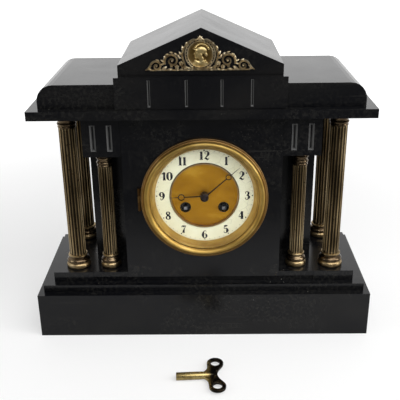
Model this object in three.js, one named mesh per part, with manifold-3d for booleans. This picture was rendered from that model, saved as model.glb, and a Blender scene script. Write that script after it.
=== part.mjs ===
// Black slate mantel clock with fluted columns, pediment, round striking movement and key.
// Millimetres. +X is to the right, the front faces -Y, +Z is up.
// The origin is the centre of the plinth's underside.
import * as THREE from 'three';
import { mergeVertices } from 'three/addons/utils/BufferGeometryUtils.js';
import Module from 'manifold-3d';

const wasm = await Module();
wasm.setup();

// Plinth and steps, slate
const bodyWidth = 252;
const plinthReach = 61;
const plinthWidth = bodyWidth + 2 * plinthReach;
const plinthDepth = 152;
const plinthHeight = 52.5;
const bedJoint = 0.2;
const lowerStepEndInset = 5.8;
const lowerStepFrontInset = 9.3;
const lowerStepHeight = 8.1;
const upperStepEndInset = 11;
const upperStepFrontInset = 9.4;
const upperStepHeight = 11.6;
const pedestalInset = 1;
const stepSlabHeight = 6;
const stripRecess = 1.5;

// Body of the case, slate
const columnZoneHeight = 182.6;
const bodyBack = 56;
const wallThickness = 12;
const wingFront = 15;
const frontPanelWidth = 170.8;
const frontPanelThickness = 12;
const slateFace = 58.2;
const friezeBlockSetback = 0.6;
const friezeBlockHeight = 44.3;
const channelSpacing = 17.5;
const channelWidth = 6;
const channelDepth = 2.5;
const channelHeight = 29;
const channelDrop = 9;

// Cornice, upper block, centre frieze and pediment, slate
const corniceReach = 53;
const corniceWidth = bodyWidth + 2 * corniceReach;
const corniceFront = 71.6;
const corniceHeight = 9.8;
const upperBlockInset = 10.5;
const upperBlockWidth = corniceWidth - 2 * upperBlockInset;
const upperBlockFront = 60.1;
const upperBlockHeight = 24.7;
const upperBlockEndRadius = 17;
const friezeWidth = 175.3;
const friezeX = -0.4;
const friezeFront = 67.1;
const friezeRise = 8.3;
const grooveWidth = 3;
const grooveDepth = 1.8;
const grooveMargin = 2.4;
const grooveShares = [-0.2995, -0.0827, 0.1221, 0.2961];
const pedimentWidth = 167.2;
const pedimentX = -0.5;
const apexShift = 0.9;
const pedimentFront = 59;
const eavesHeight = 10.9;
const pedimentRise = 36.4;

// Columns, bronze
const outerColumnReach = 20.4;
const innerColumnShift = 1;
const frontLeftInset = 2;
const columnFront = 38.7;
const outerShaftRadius = 9.55;
const innerShaftRadius = 7.8;
const outerBaseRadius = 14.1;
const innerBaseRadius = 12;
const columnBaseHeight = 16;
const columnCapitalHeight = 8.5;
const outerCapitalRadius = 10.35;
const innerCapitalRadius = 8.7;
const fluteCount = 14;
const fluteDepth = 0.9;
const fluteLandShare = 0.34;
const columnSides = 14;
const baseShares = [[0.87, 0], [1, 0.22], [0.83, 0.5], [0.83, 0.66], [0.7, 0.78], [0.76, 1]];
const capitalShares = [[0.86, 0], [0.95, 0.1], [0.88, 0.35], [1, 0.65], [0.92, 1]];

// Clearances, overruns and facet counts
const seatGap = 0.3;
const runningGap = 0.4;
const overrun = 1;
const largeSides = 28;
const mediumSides = 16;
const smallSides = 12;
const pivotSides = 8;
const arborSides = 6;
const arcSteps = 3;
const fullTurn = 360;

// Dial, pan and bezel, gilt brass and enamel
const dialX = 2.2;
const dialDrop = 0.6;
const dialSetback = 7.2;
const enamelThickness = 2.2;
const enamelOuterRadius = 57.4;
const enamelInnerRadius = 38.1;
const panFloorThickness = 1;
const panInnerRadius = 58;
const panWall = 1.2;
const flangeRadius = 64;
const flangeThickness = 1;
const centreRimWidth = 1.4;
const centreRimRise = 0.6;
const caseHoleGap = 0.6;
const windingHoleRadius = 6.1;
const windingX = 21;
const windingDrop = 14.4;
const regulatorRise = 52.6;
const regulatorHoleRadius = 1.9;
const centreHoleRadius = 3.7;
const bezelRadius = 69.1;
const bezelHeight = 8.2;
const bezelSightWidth = 1.2;
const sightGap = 0.7;
const bezelShares = [
  [0, 0.6], [0.11, 0.85], [0.34, 1], [0.57, 0.85], [0.67, 0.6], [0.95, 0.42], [1, 0.25], [0.95, 0.05],
];
const sightRadius = 54.2;
const glassRadius = 59.2;
const glassThickness = 1.6;
const glassRise = 1.3;
const glassSeat = 2.9;
const glassShares = [[0, 1], [0.6, 0.64], [1, 0]];
const hingePinRadius = 1.6;
const hingeLength = 26;
const hingeInset = 1.7;
const hingeReach = bezelRadius + hingeInset;
const hingeStandoff = 2.1;
const knuckleShare = 0.34;
const lugThickness = 1.6;

// Hands, blued steel
const handThickness = 0.7;
const hourHandStandoff = 1.6;
const handSpacing = 3.4;
const hourColletLength = 3.6;
const minuteColletLength = 2.8;
const minuteLength = 51.4;
const minuteRingPlace = 34.9;
const minuteRingRadius = 3.35;
const hourLength = 38.4;
const hourRingPlace = 25.4;
const hourRingRadius = 3.85;
const handRingWidth = 0.95;
const handRootWidth = 1.5;
const handNeckWidth = 0.9;
const handEyeRadius = 4.4;
const minuteHandAngle = 48.4;
const hourHandAngle = 267.2;
const handNutRadius = 4.6;
const handNutHeight = 2.4;
const handNutBore = 1.4;
const minuteArborReach = 1;
const handNutShares = [[1, 0], [1, 0.45], [0.8, 0.8], [0.4, 1]];

// Movement plates, brass
const motionSpace = 5;
const plateRadius = 46;
const plateThickness = 2;
const plateSpacing = 24;
const pillarRadius = 2.4;
const pillarCircle = 41;
const pillarAngles = [38, 142, 252, 288];
const dialFootRadius = 1.8;
const strapCircle = 50;
const strapWidth = 10;
const strapThickness = 1.5;
const strapAngles = [25, 155];
const pivotRadius = 0.7;
const pivotHoleRadius = 1.15;
const arborRadius = 0.9;

// Wheels: teeth, modules and levels behind the front plate
const barrelTeeth = 48;
const barrelModule = 0.765;
const barrelPinionTeeth = 8;
const drumRadius = 17;
const drumLength = 13;
const drumLevel = 4.2;
const flangeToothWidth = 2;
const secondTeeth = 36;
const centrePinionTeeth = 6;
const secondModule = 0.6933;
const secondLevel = 1.5;
const centreTeeth = 36;
const thirdPinionTeeth = 6;
const centreModule = 0.6667;
const centreLevel = 20.4;
const thirdTeeth = 36;
const escapePinionTeeth = 6;
const thirdModule = 0.5133;
const thirdLevel = 5.6;
const escapeTeeth = 24;
const escapeRadius = 8.5;
const escapeToothDepth = 1.9;
const escapeRakeShare = 0.33;
const escapeLevel = 12;
const escapeRise = 22.6;
const strikeSecondTeeth = 36;
const pinPinionTeeth = 6;
const strikeSecondModule = 0.5867;
const pinTeeth = 36;
const lockingPinionTeeth = 6;
const pinModule = 0.4667;
const pinLevel = 9;
const liftingPinCount = 8;
const liftingPinRadius = 0.5;
const liftingPinCircle = 6.2;
const liftingPinLength = 1.8;
const lockingTeeth = 30;
const flyPinionTeeth = 6;
const lockingModule = 0.432;
const lockingLevel = 14;
const flyLevel = 1.4;
const flyLength = 8;
const flyReach = 4.2;
const flyThickness = 0.6;
const strikeSecondAngle = 97;
const pinWheelAngle = 55;
const lockingWheelAngle = 60;
const flyAngle = 95;
const wheelThickness = 1.2;
const pinionOverlap = 0.6;
const meshGap = 0.1;
const addendumShare = 0.65;
const dedendumShare = 1.1;
const crossingCount = 4;
const crossingRimShare = 0.8;
const crossingHubShare = 0.3;
const crossingArmShare = 0.26;

// Motion work in front of the front plate
const cannonTeeth = 8;
const minuteWheelTeeth = 24;
const cannonModule = 0.675;
const minutePinionTeeth = 6;
const hourTeeth = 24;
const hourModule = 0.72;
const cannonLevel = 0.8;
const hourLevel = 2.6;
const minuteArborRadius = 1.7;
const hourPipeBore = 2.1;
const hourPipeRadius = 3.1;

// Winding arbors and ratchets, steel
const squareSize = 3.6;
const squareReach = 3;
const windingArborRadius = 2.4;
const ratchetRadius = 6.4;
const ratchetTeeth = 16;
const ratchetToothDepth = 1;
const ratchetThickness = 1.6;
const ratchetRakeShare = 0.17;

// Anchor and crutch, steel
const palletRise = 33.5;
const palletGap = 0.6;
const palletSpanAngle = 52;
const palletWidthAngle = 9;
const palletRelief = 0.7;
const anchorThickness = 1.6;
const anchorArmWidth = 1.7;
const anchorHoleRadius = 2;
const crutchOffset = 3.6;
const crutchLength = 25;
const crutchWidth = 2;
const crutchThickness = 1;
const forkHeight = 4;
const forkProngWidth = 1.2;

// Suspension, pendulum and regulating arbor
const pendulumOffset = 8;
const springThickness = 0.5;
const springWidth = 5;
const springTop = 4.4;
const springBottom = 3;
const springSlotGap = 0.6;
const hookHeight = 4;
const hookWidth = 5;
const hookDepth = 4;
const rodRadius = 1.1;
const bobClearance = 6.7;
const bobRadius = 15;
const bobThickness = 8;
const bobShares = [[0, -1], [0.55, -0.9], [1, -0.35], [1, 0.35], [0.55, 0.9], [0, 1]];
const ratingNutRadius = 3;
const ratingNutHeight = 2.4;
const cockWidth = 16;
const cockThickness = 2.4;
const cockArmHeight = 6;
const cockArmWidth = 8;
const regulatorRadius = 1.2;
const regulatorBoss = 3.4;
const regulatorSquareShare = 0.7;

// Strike side behind the back plate
const countWheelRadius = 12;
const countWheelThickness = 1.2;
const countWheelOffset = 1.6;
const countNotchDepth = 1.6;
const countNotchShare = 0.55;
const halfHourStrokes = 1;
const hammerX = 38;
const hammerRise = 12;
const hammerTailPlay = 0.6;
const hammerTailWidth = 1.6;
const hammerTailLevel = 7.2;
const hammerHeadRadius = 3.5;
const hammerHeadLength = 7;
const hammerGap = 1.5;
const hammerArmWidth = 2.4;
const hammerArmThickness = 1.5;
const bellDrop = 10;
const bellRadius = 42;
const bellDepth = 28;
const bellWall = 2;
const bellOffset = 19;
const bellHoleRadius = 3;
const bellShares = [[1, 0], [0.975, 0.3], [0.88, 0.6], [0.65, 0.85], [0.25, 0.99]];
const standX = 24;
const standDrop = 28;
const standRodRadius = 2;
const standFootRadius = 4.2;
const standFootThickness = 1.6;
const standReach = 33;
const standArmWidth = 5;
const standArmThickness = 3;
const standStudRadius = 2.2;
const standStudReach = 4.4;
const standNutHeight = 3;
const standNutWall = 2.5;

// Rear fixing ring and back door, brass
const rearHoleRadius = 52.8;
const rearRingInner = 46;
const rearRingOuter = 58;
const rearRingThickness = 1.2;
const doorRadius = 49;
const doorRimThickness = 1.2;
const doorDomeRise = 2.2;
const doorDomeRadius = 43;
const doorDomeShares = [[1, 0], [0.93, 0.8], [0, 1]];
const doorKnobRadius = 3;
const doorKnobInset = 9;
const doorKnobHeight = 4;
const doorHingeReach = 51.6;
const doorHingeStandoff = 2.4;
const doorHingeLength = 22;

// Pierced mount on the pediment, gilt brass
const mountThickness = 1.4;
const mountRelief = 2.8;
const mountBaseRise = 5.2;
const mountHalfWidth = 55.4;
const mountX = -1;
const mountRailHeight = 1.8;
const medallionRise = 17.3;
const medallionRadius = 13.6;
const medallionRimWidth = 1.8;
const headSemiAxes = [4.4, 2.6, 6];
const helmetSemiAxes = [6.6, 3.4, 3.6];
const helmetRise = 3.8;
const pendantWidth = 12;
const pendantHeight = 5.4;
const pendantTopWidth = 8;
const crestBaseRise = 29;
const crestHeight = 6.2;
const crestWidth = 6;
const flowerRadius = 2.8;
const flowerPlaces = [[12.6, 4], [18.4, 4.1]];
const innerScroll = { x: 27.6, rise: 9.2, radius: 7.6, width: 1.7, start: 206, sweep: -500, end: 2 };
const outerScroll = { x: 42.6, rise: 5, radius: 4, width: 1.4, start: 270, sweep: -430, end: 1 };
const leafScroll = { x: 42.6, rise: 3.4, radius: 7.8, width: 1.8, start: -24, sweep: 166, end: 7.8 };
const frameScroll = { x: 0, rise: 17.3, radius: 16.4, width: 1.8, start: -48, sweep: 126, end: 15.4 };
const mountRailInset = 5.2;
const scrollStepAngle = 46;

// Winding key, brass barrel and blackened bow; the outline of the bow is in shares of the rings' distance
const keyX = 13.2;
const keyY = 155.9;
const keyTurn = 3.2;
const keyLength = 42;
const keyBarrelRadius = 4.1;
const keyTaperStart = 14;
const keyTaperEnd = 4;
const keyTaperRadius = 2.2;
const keySocketSize = 3.9;
const keySocketDepth = 16;
const keyRingSpan = 19;
const keyRingRadius = 8.8;
const keyRingHoleRadius = 4.9;
const keyBowThickness = 3;
const keyBowShares = [
  [-1.05, 0.2], [-0.79, 0.247], [-0.6, 0.347], [-0.495, 0.516], [-0.46, 0.79], [-0.44, 1], [0, 1],
  [0.395, 0.768], [0.22, 0.5], [0.074, 0.263], [0.02, 0],
];

const slate = new THREE.MeshStandardMaterial({ color: 0x232325, roughness: 0.32, metalness: 0 });
const bronze = new THREE.MeshStandardMaterial({ color: 0x6f5a34, roughness: 0.42, metalness: 0.9 });
const gilt = new THREE.MeshStandardMaterial({ color: 0xb88a44, roughness: 0.34, metalness: 0.95 });
const brass = new THREE.MeshStandardMaterial({ color: 0xb99a52, roughness: 0.4, metalness: 0.95 });
const steel = new THREE.MeshStandardMaterial({ color: 0x6d7075, roughness: 0.35, metalness: 1 });
const bluedSteel = new THREE.MeshStandardMaterial({ color: 0x2a2428, roughness: 0.35, metalness: 0.9 });
const enamel = new THREE.MeshStandardMaterial({ color: 0xf1ecd6, roughness: 0.18, metalness: 0 });
const bellMetal = new THREE.MeshStandardMaterial({ color: 0xa8956a, roughness: 0.3, metalness: 1 });
const keyIron = new THREE.MeshStandardMaterial({ color: 0x6e5a38, roughness: 0.45, metalness: 0.9 });
const clearGlass = new THREE.MeshStandardMaterial({
  color: 0xffffff, roughness: 0.04, metalness: 0, transparent: true, opacity: 0.2,
});

// Heights of the beds, from the table up
const lowerStepBase = plinthHeight;
const upperStepBase = lowerStepBase + lowerStepHeight;
const stepTop = upperStepBase + upperStepHeight;
const corniceBase = stepTop + columnZoneHeight;
const dialHeight = stepTop + columnZoneHeight / 2 - dialDrop;
const upperBlockBase = corniceBase + corniceHeight;
const friezeTop = upperBlockBase + upperBlockHeight + friezeRise;
const caseBack = plinthDepth / 2;
const lowerStepHalfWidth = plinthWidth / 2 - lowerStepEndInset;
const lowerStepHalfDepth = plinthDepth / 2 - lowerStepFrontInset;
const upperStepHalfWidth = lowerStepHalfWidth - upperStepEndInset;
const upperStepHalfDepth = lowerStepHalfDepth - upperStepFrontInset;
const bodyHalf = bodyWidth / 2;
const panelHalf = frontPanelWidth / 2;
const centreStepHalfWidth = bodyHalf - pedestalInset;
const outerColumnX = bodyHalf + outerColumnReach;
const innerColumnX = (panelHalf + bodyHalf) / 2 + innerColumnShift;
const panelBack = frontPanelThickness - slateFace;

// Depths of the dial and the movement; negative is in front of the case's middle
const enamelFront = dialSetback - slateFace;
const panFloorFront = enamelFront + enamelThickness + seatGap;
const panFloorBack = panFloorFront + panFloorThickness;
const frontPlateFront = panFloorBack + motionSpace;
const frontPlateBack = frontPlateFront + plateThickness;
const backPlateFront = frontPlateBack + plateSpacing;
const backPlateBack = backPlateFront + plateThickness;
const pendulumPlane = backPlateBack + pendulumOffset;
const palletHeight = dialHeight + palletRise;
const bobDrop = palletHeight - stepTop - bobClearance - bobRadius;
const rearRingFront = bodyBack + seatGap;
const hourHandFront = enamelFront - hourHandStandoff;
const minuteHandFront = hourHandFront - handSpacing;

// Places of the arbors, right of and above the dial's centre
const centrePlace = [0, 0];
const goingBarrelPlace = [windingX, -windingDrop];
const strikeBarrelPlace = [-windingX, -windingDrop];
const escapePlace = [0, escapeRise];
const palletPlace = [0, palletRise];
const barrelDistance = meshDistance(barrelTeeth, barrelPinionTeeth, barrelModule);
const secondPlace = meetingPoint(
  goingBarrelPlace, barrelDistance,
  centrePlace, meshDistance(secondTeeth, centrePinionTeeth, secondModule),
);
const thirdPlace = meetingPoint(
  escapePlace, meshDistance(thirdTeeth, escapePinionTeeth, thirdModule),
  centrePlace, meshDistance(centreTeeth, thirdPinionTeeth, centreModule),
);
const strikeSecondPlace = placeAlong(strikeBarrelPlace, barrelDistance, strikeSecondAngle);
const pinWheelPlace = placeAlong(
  strikeSecondPlace, meshDistance(strikeSecondTeeth, pinPinionTeeth, strikeSecondModule), pinWheelAngle,
);
const lockingPlace = placeAlong(
  pinWheelPlace, meshDistance(pinTeeth, lockingPinionTeeth, pinModule), lockingWheelAngle,
);
const flyPlace = placeAlong(
  lockingPlace, meshDistance(lockingTeeth, flyPinionTeeth, lockingModule), flyAngle,
);
const minuteWheelPlace = [0, meshDistance(cannonTeeth, minuteWheelTeeth, cannonModule)];
const hammerPlace = [-hammerX, hammerRise];
const standPlace = [standX, -standDrop];
const bellPlace = [0, -bellDrop];
const regulatorPlace = [0, regulatorRise];

const clock = new THREE.Group();

// The dial, the movement and the back door are placed from the dial's axis
const dialGroup = new THREE.Group();
dialGroup.position.x = dialX;
clock.add(dialGroup);

// Distance between two meshed wheels
function meshDistance(wheelTeeth, pinionTeeth, toothModule) {
  return ((wheelTeeth + pinionTeeth) * toothModule) / 2 + meshGap;
}

function placeAlong(from, distance, degrees) {
  const angle = THREE.MathUtils.degToRad(degrees);
  return [from[0] + distance * Math.cos(angle), from[1] + distance * Math.sin(angle)];
}

// Point at the two distances from two others, on the left of the line from the second to the first
function meetingPoint(first, firstDistance, second, secondDistance) {
  const across = first[0] - second[0];
  const up = first[1] - second[1];
  const span = Math.hypot(across, up);
  const along = (secondDistance ** 2 - firstDistance ** 2 + span ** 2) / (2 * span);
  const aside = Math.sqrt(secondDistance ** 2 - along ** 2);
  return [
    second[0] + (along * across - aside * up) / span,
    second[1] + (along * up + aside * across) / span,
  ];
}

function angleBetween(from, to) {
  return Math.atan2(to[1] - from[1], to[0] - from[0]);
}

// Closed solid with shared corners and its faces turned outwards
function toSolid(geometry) {
  const bare = geometry.index ? geometry.toNonIndexed() : geometry.clone();
  bare.deleteAttribute('normal');
  bare.deleteAttribute('uv');
  const merged = mergeVertices(bare, weldDistance(bare));
  const corners = [...merged.index.array];
  const triangles = [];
  for (let i = 0; i < corners.length; i += 3) {
    const [a, b, c] = corners.slice(i, i + 3);
    if (a !== b && b !== c && c !== a) triangles.push(a, b, c);
  }
  if (signedVolume(merged.attributes.position, triangles) < 0) triangles.reverse();
  return new wasm.Manifold(new wasm.Mesh({
    numProp: 3,
    vertProperties: new Float32Array(merged.attributes.position.array),
    triVerts: new Uint32Array(triangles),
  }));
}

// Corners closer than a hundred-thousandth of the piece's size are one corner
function weldDistance(geometry) {
  const weldShare = 1e-5;
  geometry.computeBoundingSphere();
  return geometry.boundingSphere.radius * weldShare;
}

function signedVolume(position, triangles) {
  const [a, b, c] = [new THREE.Vector3(), new THREE.Vector3(), new THREE.Vector3()];
  let volume = 0;
  for (let i = 0; i < triangles.length; i += 3) {
    a.fromBufferAttribute(position, triangles[i]);
    b.fromBufferAttribute(position, triangles[i + 1]);
    c.fromBufferAttribute(position, triangles[i + 2]);
    volume += a.dot(b.cross(c));
  }
  return volume;
}

function join(...solids) {
  return solids.reduce((whole, solid) => whole.add(solid));
}

function cut(solid, ...tools) {
  return tools.reduce((rest, tool) => rest.subtract(tool), solid);
}

function addPiece(name, solid, material, parent = clock) {
  const mesh = solid.getMesh();
  const geometry = new THREE.BufferGeometry();
  geometry.setAttribute('position', new THREE.BufferAttribute(new Float32Array(mesh.vertProperties), 3));
  geometry.setIndex(new THREE.BufferAttribute(new Uint32Array(mesh.triVerts), 1));
  geometry.computeVertexNormals();
  const piece = new THREE.Mesh(geometry, material);
  piece.name = name;
  parent.add(piece);
  return piece;
}

// Block between two limits on each axis
function block(left, right, front, back, bottom, top) {
  const box = new THREE.BoxGeometry(right - left, back - front, top - bottom);
  return toSolid(box.translate((left + right) / 2, (front + back) / 2, (bottom + top) / 2));
}

// Shape drawn right and up, as seen from the front, made thick from front to back
function plateOf(shape, front, back) {
  const options = { depth: back - front, bevelEnabled: false, curveSegments: arcSteps };
  const geometry = new THREE.ExtrudeGeometry(shape, options);
  return toSolid(geometry.rotateX(Math.PI / 2).translate(0, back, 0));
}

function polygon(points) {
  return new THREE.Shape(points.map(([x, z]) => new THREE.Vector2(x, z)));
}

function circlePoints(place, radius, sides) {
  const points = [];
  for (let i = 0; i < sides; i += 1) {
    const angle = (i / sides) * 2 * Math.PI;
    points.push([place[0] + radius * Math.cos(angle), place[1] + radius * Math.sin(angle)]);
  }
  return points;
}

// Round rod or hole along the depth, with the place measured from the dial's centre
function rod(place, radius, front, back, sides = smallSides) {
  return plateOf(polygon(circlePoints([place[0], place[1] + dialHeight], radius, sides)), front, back);
}

// Turned piece about an axis along the depth; the profile holds radius and depth
function turned(place, profile, sides) {
  const points = profile.map(([radius, depth]) => new THREE.Vector2(radius, depth));
  const geometry = new THREE.LatheGeometry(points, sides);
  return toSolid(geometry.translate(place[0], 0, place[1] + dialHeight));
}

// Stepped arbor: each step is where it starts and its radius, and the last value is its end
function steppedArbor(place, steps, end, sides = arborSides) {
  const profile = [[0, steps[0][0]]];
  steps.forEach(([start, radius], i) => {
    const stop = i + 1 < steps.length ? steps[i + 1][0] : end;
    profile.push([radius, start], [radius, stop]);
  });
  profile.push([0, end]);
  return turned(place, profile, sides);
}

// Shape moved from the dial's centre to its height on the case
function raised(points) {
  return points.map(([x, z]) => [x, z + dialHeight]);
}

// Outline of a toothed wheel. A tooth, or a gap, lies on the given angle
function toothOutline(place, teeth, toothModule, angle, hasTooth) {
  const pitchRadius = (teeth * toothModule) / 2;
  const tip = pitchRadius + addendumShare * toothModule;
  const root = pitchRadius - dedendumShare * toothModule;
  const halfStep = Math.PI / teeth;
  const points = [];
  for (let i = 0; i < 2 * teeth; i += 1) {
    const radius = (i % 2 === 0) === hasTooth ? tip : root;
    points.push([
      place[0] + radius * Math.cos(angle + i * halfStep), place[1] + radius * Math.sin(angle + i * halfStep),
    ]);
  }
  return raised(points);
}

// Windows between the arms of a wheel
function crossings(place, radius) {
  const step = (2 * Math.PI) / crossingCount;
  const outer = radius * crossingRimShare;
  const inner = radius * crossingHubShare;
  const halfOuter = (step * (1 - crossingArmShare)) / 2;
  const halfInner = halfOuter * (1 - crossingArmShare);
  const corners = [
    [inner, -halfInner], [outer, -halfOuter], [outer, 0], [outer, halfOuter], [inner, halfInner],
  ];
  const windows = [];
  for (let i = 0; i < crossingCount; i += 1) {
    windows.push(raised(corners.map(([r, a]) => [
      place[0] + r * Math.cos(i * step + a), place[1] + r * Math.sin(i * step + a),
    ])));
  }
  return windows;
}

function wheel(place, teeth, toothModule, angle, level, withWindows = true) {
  const shape = polygon(toothOutline(place, teeth, toothModule, angle, false));
  if (withWindows) {
    crossings(place, (teeth * toothModule) / 2).forEach((window) => shape.holes.push(polygon(window)));
  }
  return plateOf(shape, level, level + wheelThickness);
}

// Pinion that reaches past both faces of the wheel that drives it
function pinion(place, teeth, toothModule, angle, level, thickness = wheelThickness) {
  const shape = polygon(toothOutline(place, teeth, toothModule, angle, true));
  return plateOf(shape, level - pinionOverlap, level + thickness + pinionOverlap);
}

// Arbor between the plates with a pivot in each
function plainArbor(place) {
  return steppedArbor(place, [
    [frontPlateFront + seatGap, pivotRadius],
    [frontPlateBack + seatGap, arborRadius],
    [backPlateFront - seatGap, pivotRadius],
  ], backPlateBack - seatGap);
}

function slabStone(name, left, right, front, back, bottom, top) {
  return addPiece(name, block(left, right, front, back, bottom + bedJoint, top), slate);
}

function makePlinth() {
  addPiece('plinth', block(
    -plinthWidth / 2, plinthWidth / 2, -plinthDepth / 2, plinthDepth / 2, 0, plinthHeight,
  ), slate);
}

function makeSteps() {
  slabStone(
    'lower_step', -lowerStepHalfWidth, lowerStepHalfWidth, -lowerStepHalfDepth, lowerStepHalfDepth,
    lowerStepBase, upperStepBase,
  );
  for (const [side, sign] of [['left', -1], ['right', 1]]) {
    const ends = [sign * (centreStepHalfWidth + bedJoint), sign * upperStepHalfWidth];
    slabStone(
      `pedestal_${side}`, Math.min(...ends), Math.max(...ends), -upperStepHalfDepth, upperStepHalfDepth,
      upperStepBase, stepTop,
    );
  }
}

// Centre step: a slab on a slightly recessed strip, rebated for the foot of the front panel
function makeCentreStep() {
  const half = centreStepHalfWidth;
  const slabBase = stepTop - stepSlabHeight;
  const strip = block(
    -half, half, stripRecess - upperStepHalfDepth, upperStepHalfDepth, upperStepBase + bedJoint, stepTop,
  );
  const slab = block(-half, half, -upperStepHalfDepth, upperStepHalfDepth, slabBase, stepTop);
  const rebateHalf = panelHalf + bedJoint;
  const rebate = block(
    -rebateHalf, rebateHalf, -slateFace - overrun, panelBack + bedJoint, slabBase, stepTop + overrun,
  );
  addPiece('centre_step', cut(join(strip, slab), rebate), slate);
}

function makeFrontPanel() {
  const panel = block(
    -panelHalf, panelHalf, -slateFace, panelBack, stepTop - stepSlabHeight + bedJoint, corniceBase,
  );
  const hole = rod(
    [dialX, 0], panInnerRadius + panWall + caseHoleGap, -slateFace - overrun, panelBack + overrun, largeSides,
  );
  addPiece('front_panel', cut(panel, hole), slate);
}

function makeBodyWalls() {
  const wingBack = wallThickness - wingFront;
  for (const [side, sign] of [['left', -1], ['right', 1]]) {
    const across = (inner, outer) => (sign < 0 ? [-outer, -inner] : [inner, outer]);
    slabStone(
      `return_${side}`, ...across(panelHalf - wallThickness, panelHalf), panelBack + bedJoint,
      -wingFront - bedJoint, stepTop, corniceBase,
    );
    slabStone(
      `wing_${side}`, ...across(panelHalf - wallThickness, bodyHalf), -wingFront, wingBack,
      stepTop, corniceBase,
    );
    slabStone(
      `side_wall_${side}`, ...across(bodyHalf - wallThickness, bodyHalf), wingBack + bedJoint, bodyBack,
      stepTop, corniceBase,
    );
  }
}

function makeBackPanel() {
  const half = bodyHalf - wallThickness - bedJoint;
  const front = bodyBack - wallThickness;
  const panel = block(-half, half, front, bodyBack, stepTop + bedJoint, corniceBase);
  const hole = rod([dialX, 0], rearHoleRadius, front - overrun, bodyBack + overrun, largeSides);
  addPiece('back_panel', cut(panel, hole), slate);
}

// Sunk channel with a triangular section and a sloping foot
function channel(x, front, width, depth, bottom, top) {
  const corners = [];
  for (const [z, inset] of [[bottom, 0], [bottom + depth, depth], [top - depth, depth], [top, 0]]) {
    corners.push([x - width / 2, front - overrun, z], [x + width / 2, front - overrun, z]);
    corners.push([x - width / 2, front, z], [x, front + inset, z], [x + width / 2, front, z]);
  }
  return wasm.Manifold.hull(corners);
}

function makeFriezeBlocks() {
  const inner = panelHalf + bedJoint;
  const front = friezeBlockSetback - slateFace;
  const base = corniceBase - friezeBlockHeight;
  const top = corniceBase - channelDrop;
  for (const [side, sign] of [['left', -1], ['right', 1]]) {
    const ends = [sign * inner, sign * bodyHalf];
    const middle = (sign * (inner + bodyHalf)) / 2;
    const stone = block(
      Math.min(...ends), Math.max(...ends), front, -wingFront - bedJoint, base + bedJoint, corniceBase,
    );
    const channels = [-1, 1].map((place) => channel(
      middle + (place * channelSpacing) / 2, front, channelWidth, channelDepth, top - channelHeight, top,
    ));
    addPiece(`frieze_block_${side}`, cut(stone, ...channels), slate);
  }
}

function makeCornice() {
  slabStone(
    'cornice_slab', -corniceWidth / 2, corniceWidth / 2, -corniceFront, caseBack,
    corniceBase, upperBlockBase,
  );
}

// Upper block: its top ends are rounded over a short upright
function makeUpperBlock() {
  const half = upperBlockWidth / 2;
  const base = upperBlockBase + bedJoint;
  const top = upperBlockBase + upperBlockHeight;
  const shape = new THREE.Shape();
  shape.moveTo(-half, base);
  shape.lineTo(half, base);
  shape.lineTo(half, top - upperBlockEndRadius);
  const centre = [half - upperBlockEndRadius, top - upperBlockEndRadius];
  shape.absarc(centre[0], centre[1], upperBlockEndRadius, 0, Math.PI / 2);
  shape.absarc(-centre[0], centre[1], upperBlockEndRadius, Math.PI / 2, Math.PI);
  addPiece('upper_block', plateOf(shape, -upperBlockFront, caseBack), slate);
}

// Centre frieze: a facing slab with four grooves, and the bearing slab behind it over the upper block
function makeCentreFrieze() {
  const half = friezeWidth / 2;
  const base = upperBlockBase + bedJoint;
  const facingBack = -upperBlockFront - bedJoint;
  const [left, right] = [friezeX - half, friezeX + half];
  const bearingBase = friezeTop - friezeRise + bedJoint;
  const facing = block(left, right, -friezeFront, facingBack, base, friezeTop);
  const bearing = block(left, right, facingBack - overrun, caseBack, bearingBase, friezeTop);
  const grooves = grooveShares.map((share) => channel(
    friezeX + share * friezeWidth, -friezeFront, grooveWidth, grooveDepth,
    base + grooveMargin, friezeTop - grooveMargin,
  ));
  addPiece('centre_frieze', cut(join(facing, bearing), ...grooves), slate);
}

function makePediment() {
  const half = pedimentWidth / 2;
  const base = friezeTop + bedJoint;
  const eaves = friezeTop + eavesHeight;
  const [left, right] = [pedimentX - half, pedimentX + half];
  const apex = [pedimentX + apexShift, eaves + pedimentRise];
  const gable = [[left, base], [right, base], [right, eaves], apex, [left, eaves]];
  addPiece('pediment', plateOf(polygon(gable), -pedimentFront, caseBack), slate);
}

// Fluted shaft: lands and hollows round a straight column
function flutedShaft(shaftRadius, bottom, top) {
  const step = (2 * Math.PI) / fluteCount;
  const outline = [];
  for (let i = 0; i < fluteCount; i += 1) {
    const middle = i * step;
    const land = (step * fluteLandShare) / 2;
    outline.push([shaftRadius, middle - land], [shaftRadius, middle + land]);
    outline.push([shaftRadius - fluteDepth, middle + step / 2]);
  }
  const shape = polygon(outline.map(([r, a]) => [r * Math.cos(a), r * Math.sin(a)]));
  const geometry = new THREE.ExtrudeGeometry(shape, { depth: top - bottom, bevelEnabled: false });
  return toSolid(geometry.translate(0, 0, bottom));
}

// Turned moulding about the upright axis; shares are of its radius and height
function moulding(shares, radius, height, bottom) {
  const points = [new THREE.Vector2(0, 0)];
  shares.forEach(([r, z]) => points.push(new THREE.Vector2(r * radius, z * height)));
  points.push(new THREE.Vector2(0, height));
  const geometry = new THREE.LatheGeometry(points, columnSides);
  return toSolid(geometry.rotateX(Math.PI / 2).translate(0, 0, bottom));
}

function makeColumn(name, x, y, shaftRadius, baseRadius, capitalRadius, top) {
  const bottom = stepTop + bedJoint;
  const column = join(
    moulding(baseShares, baseRadius, columnBaseHeight, bottom),
    flutedShaft(shaftRadius, bottom + columnBaseHeight - overrun, top - columnCapitalHeight + overrun),
    moulding(capitalShares, capitalRadius, columnCapitalHeight, top - columnCapitalHeight),
  );
  addPiece(name, column, bronze).position.set(x, y, 0);
}

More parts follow.
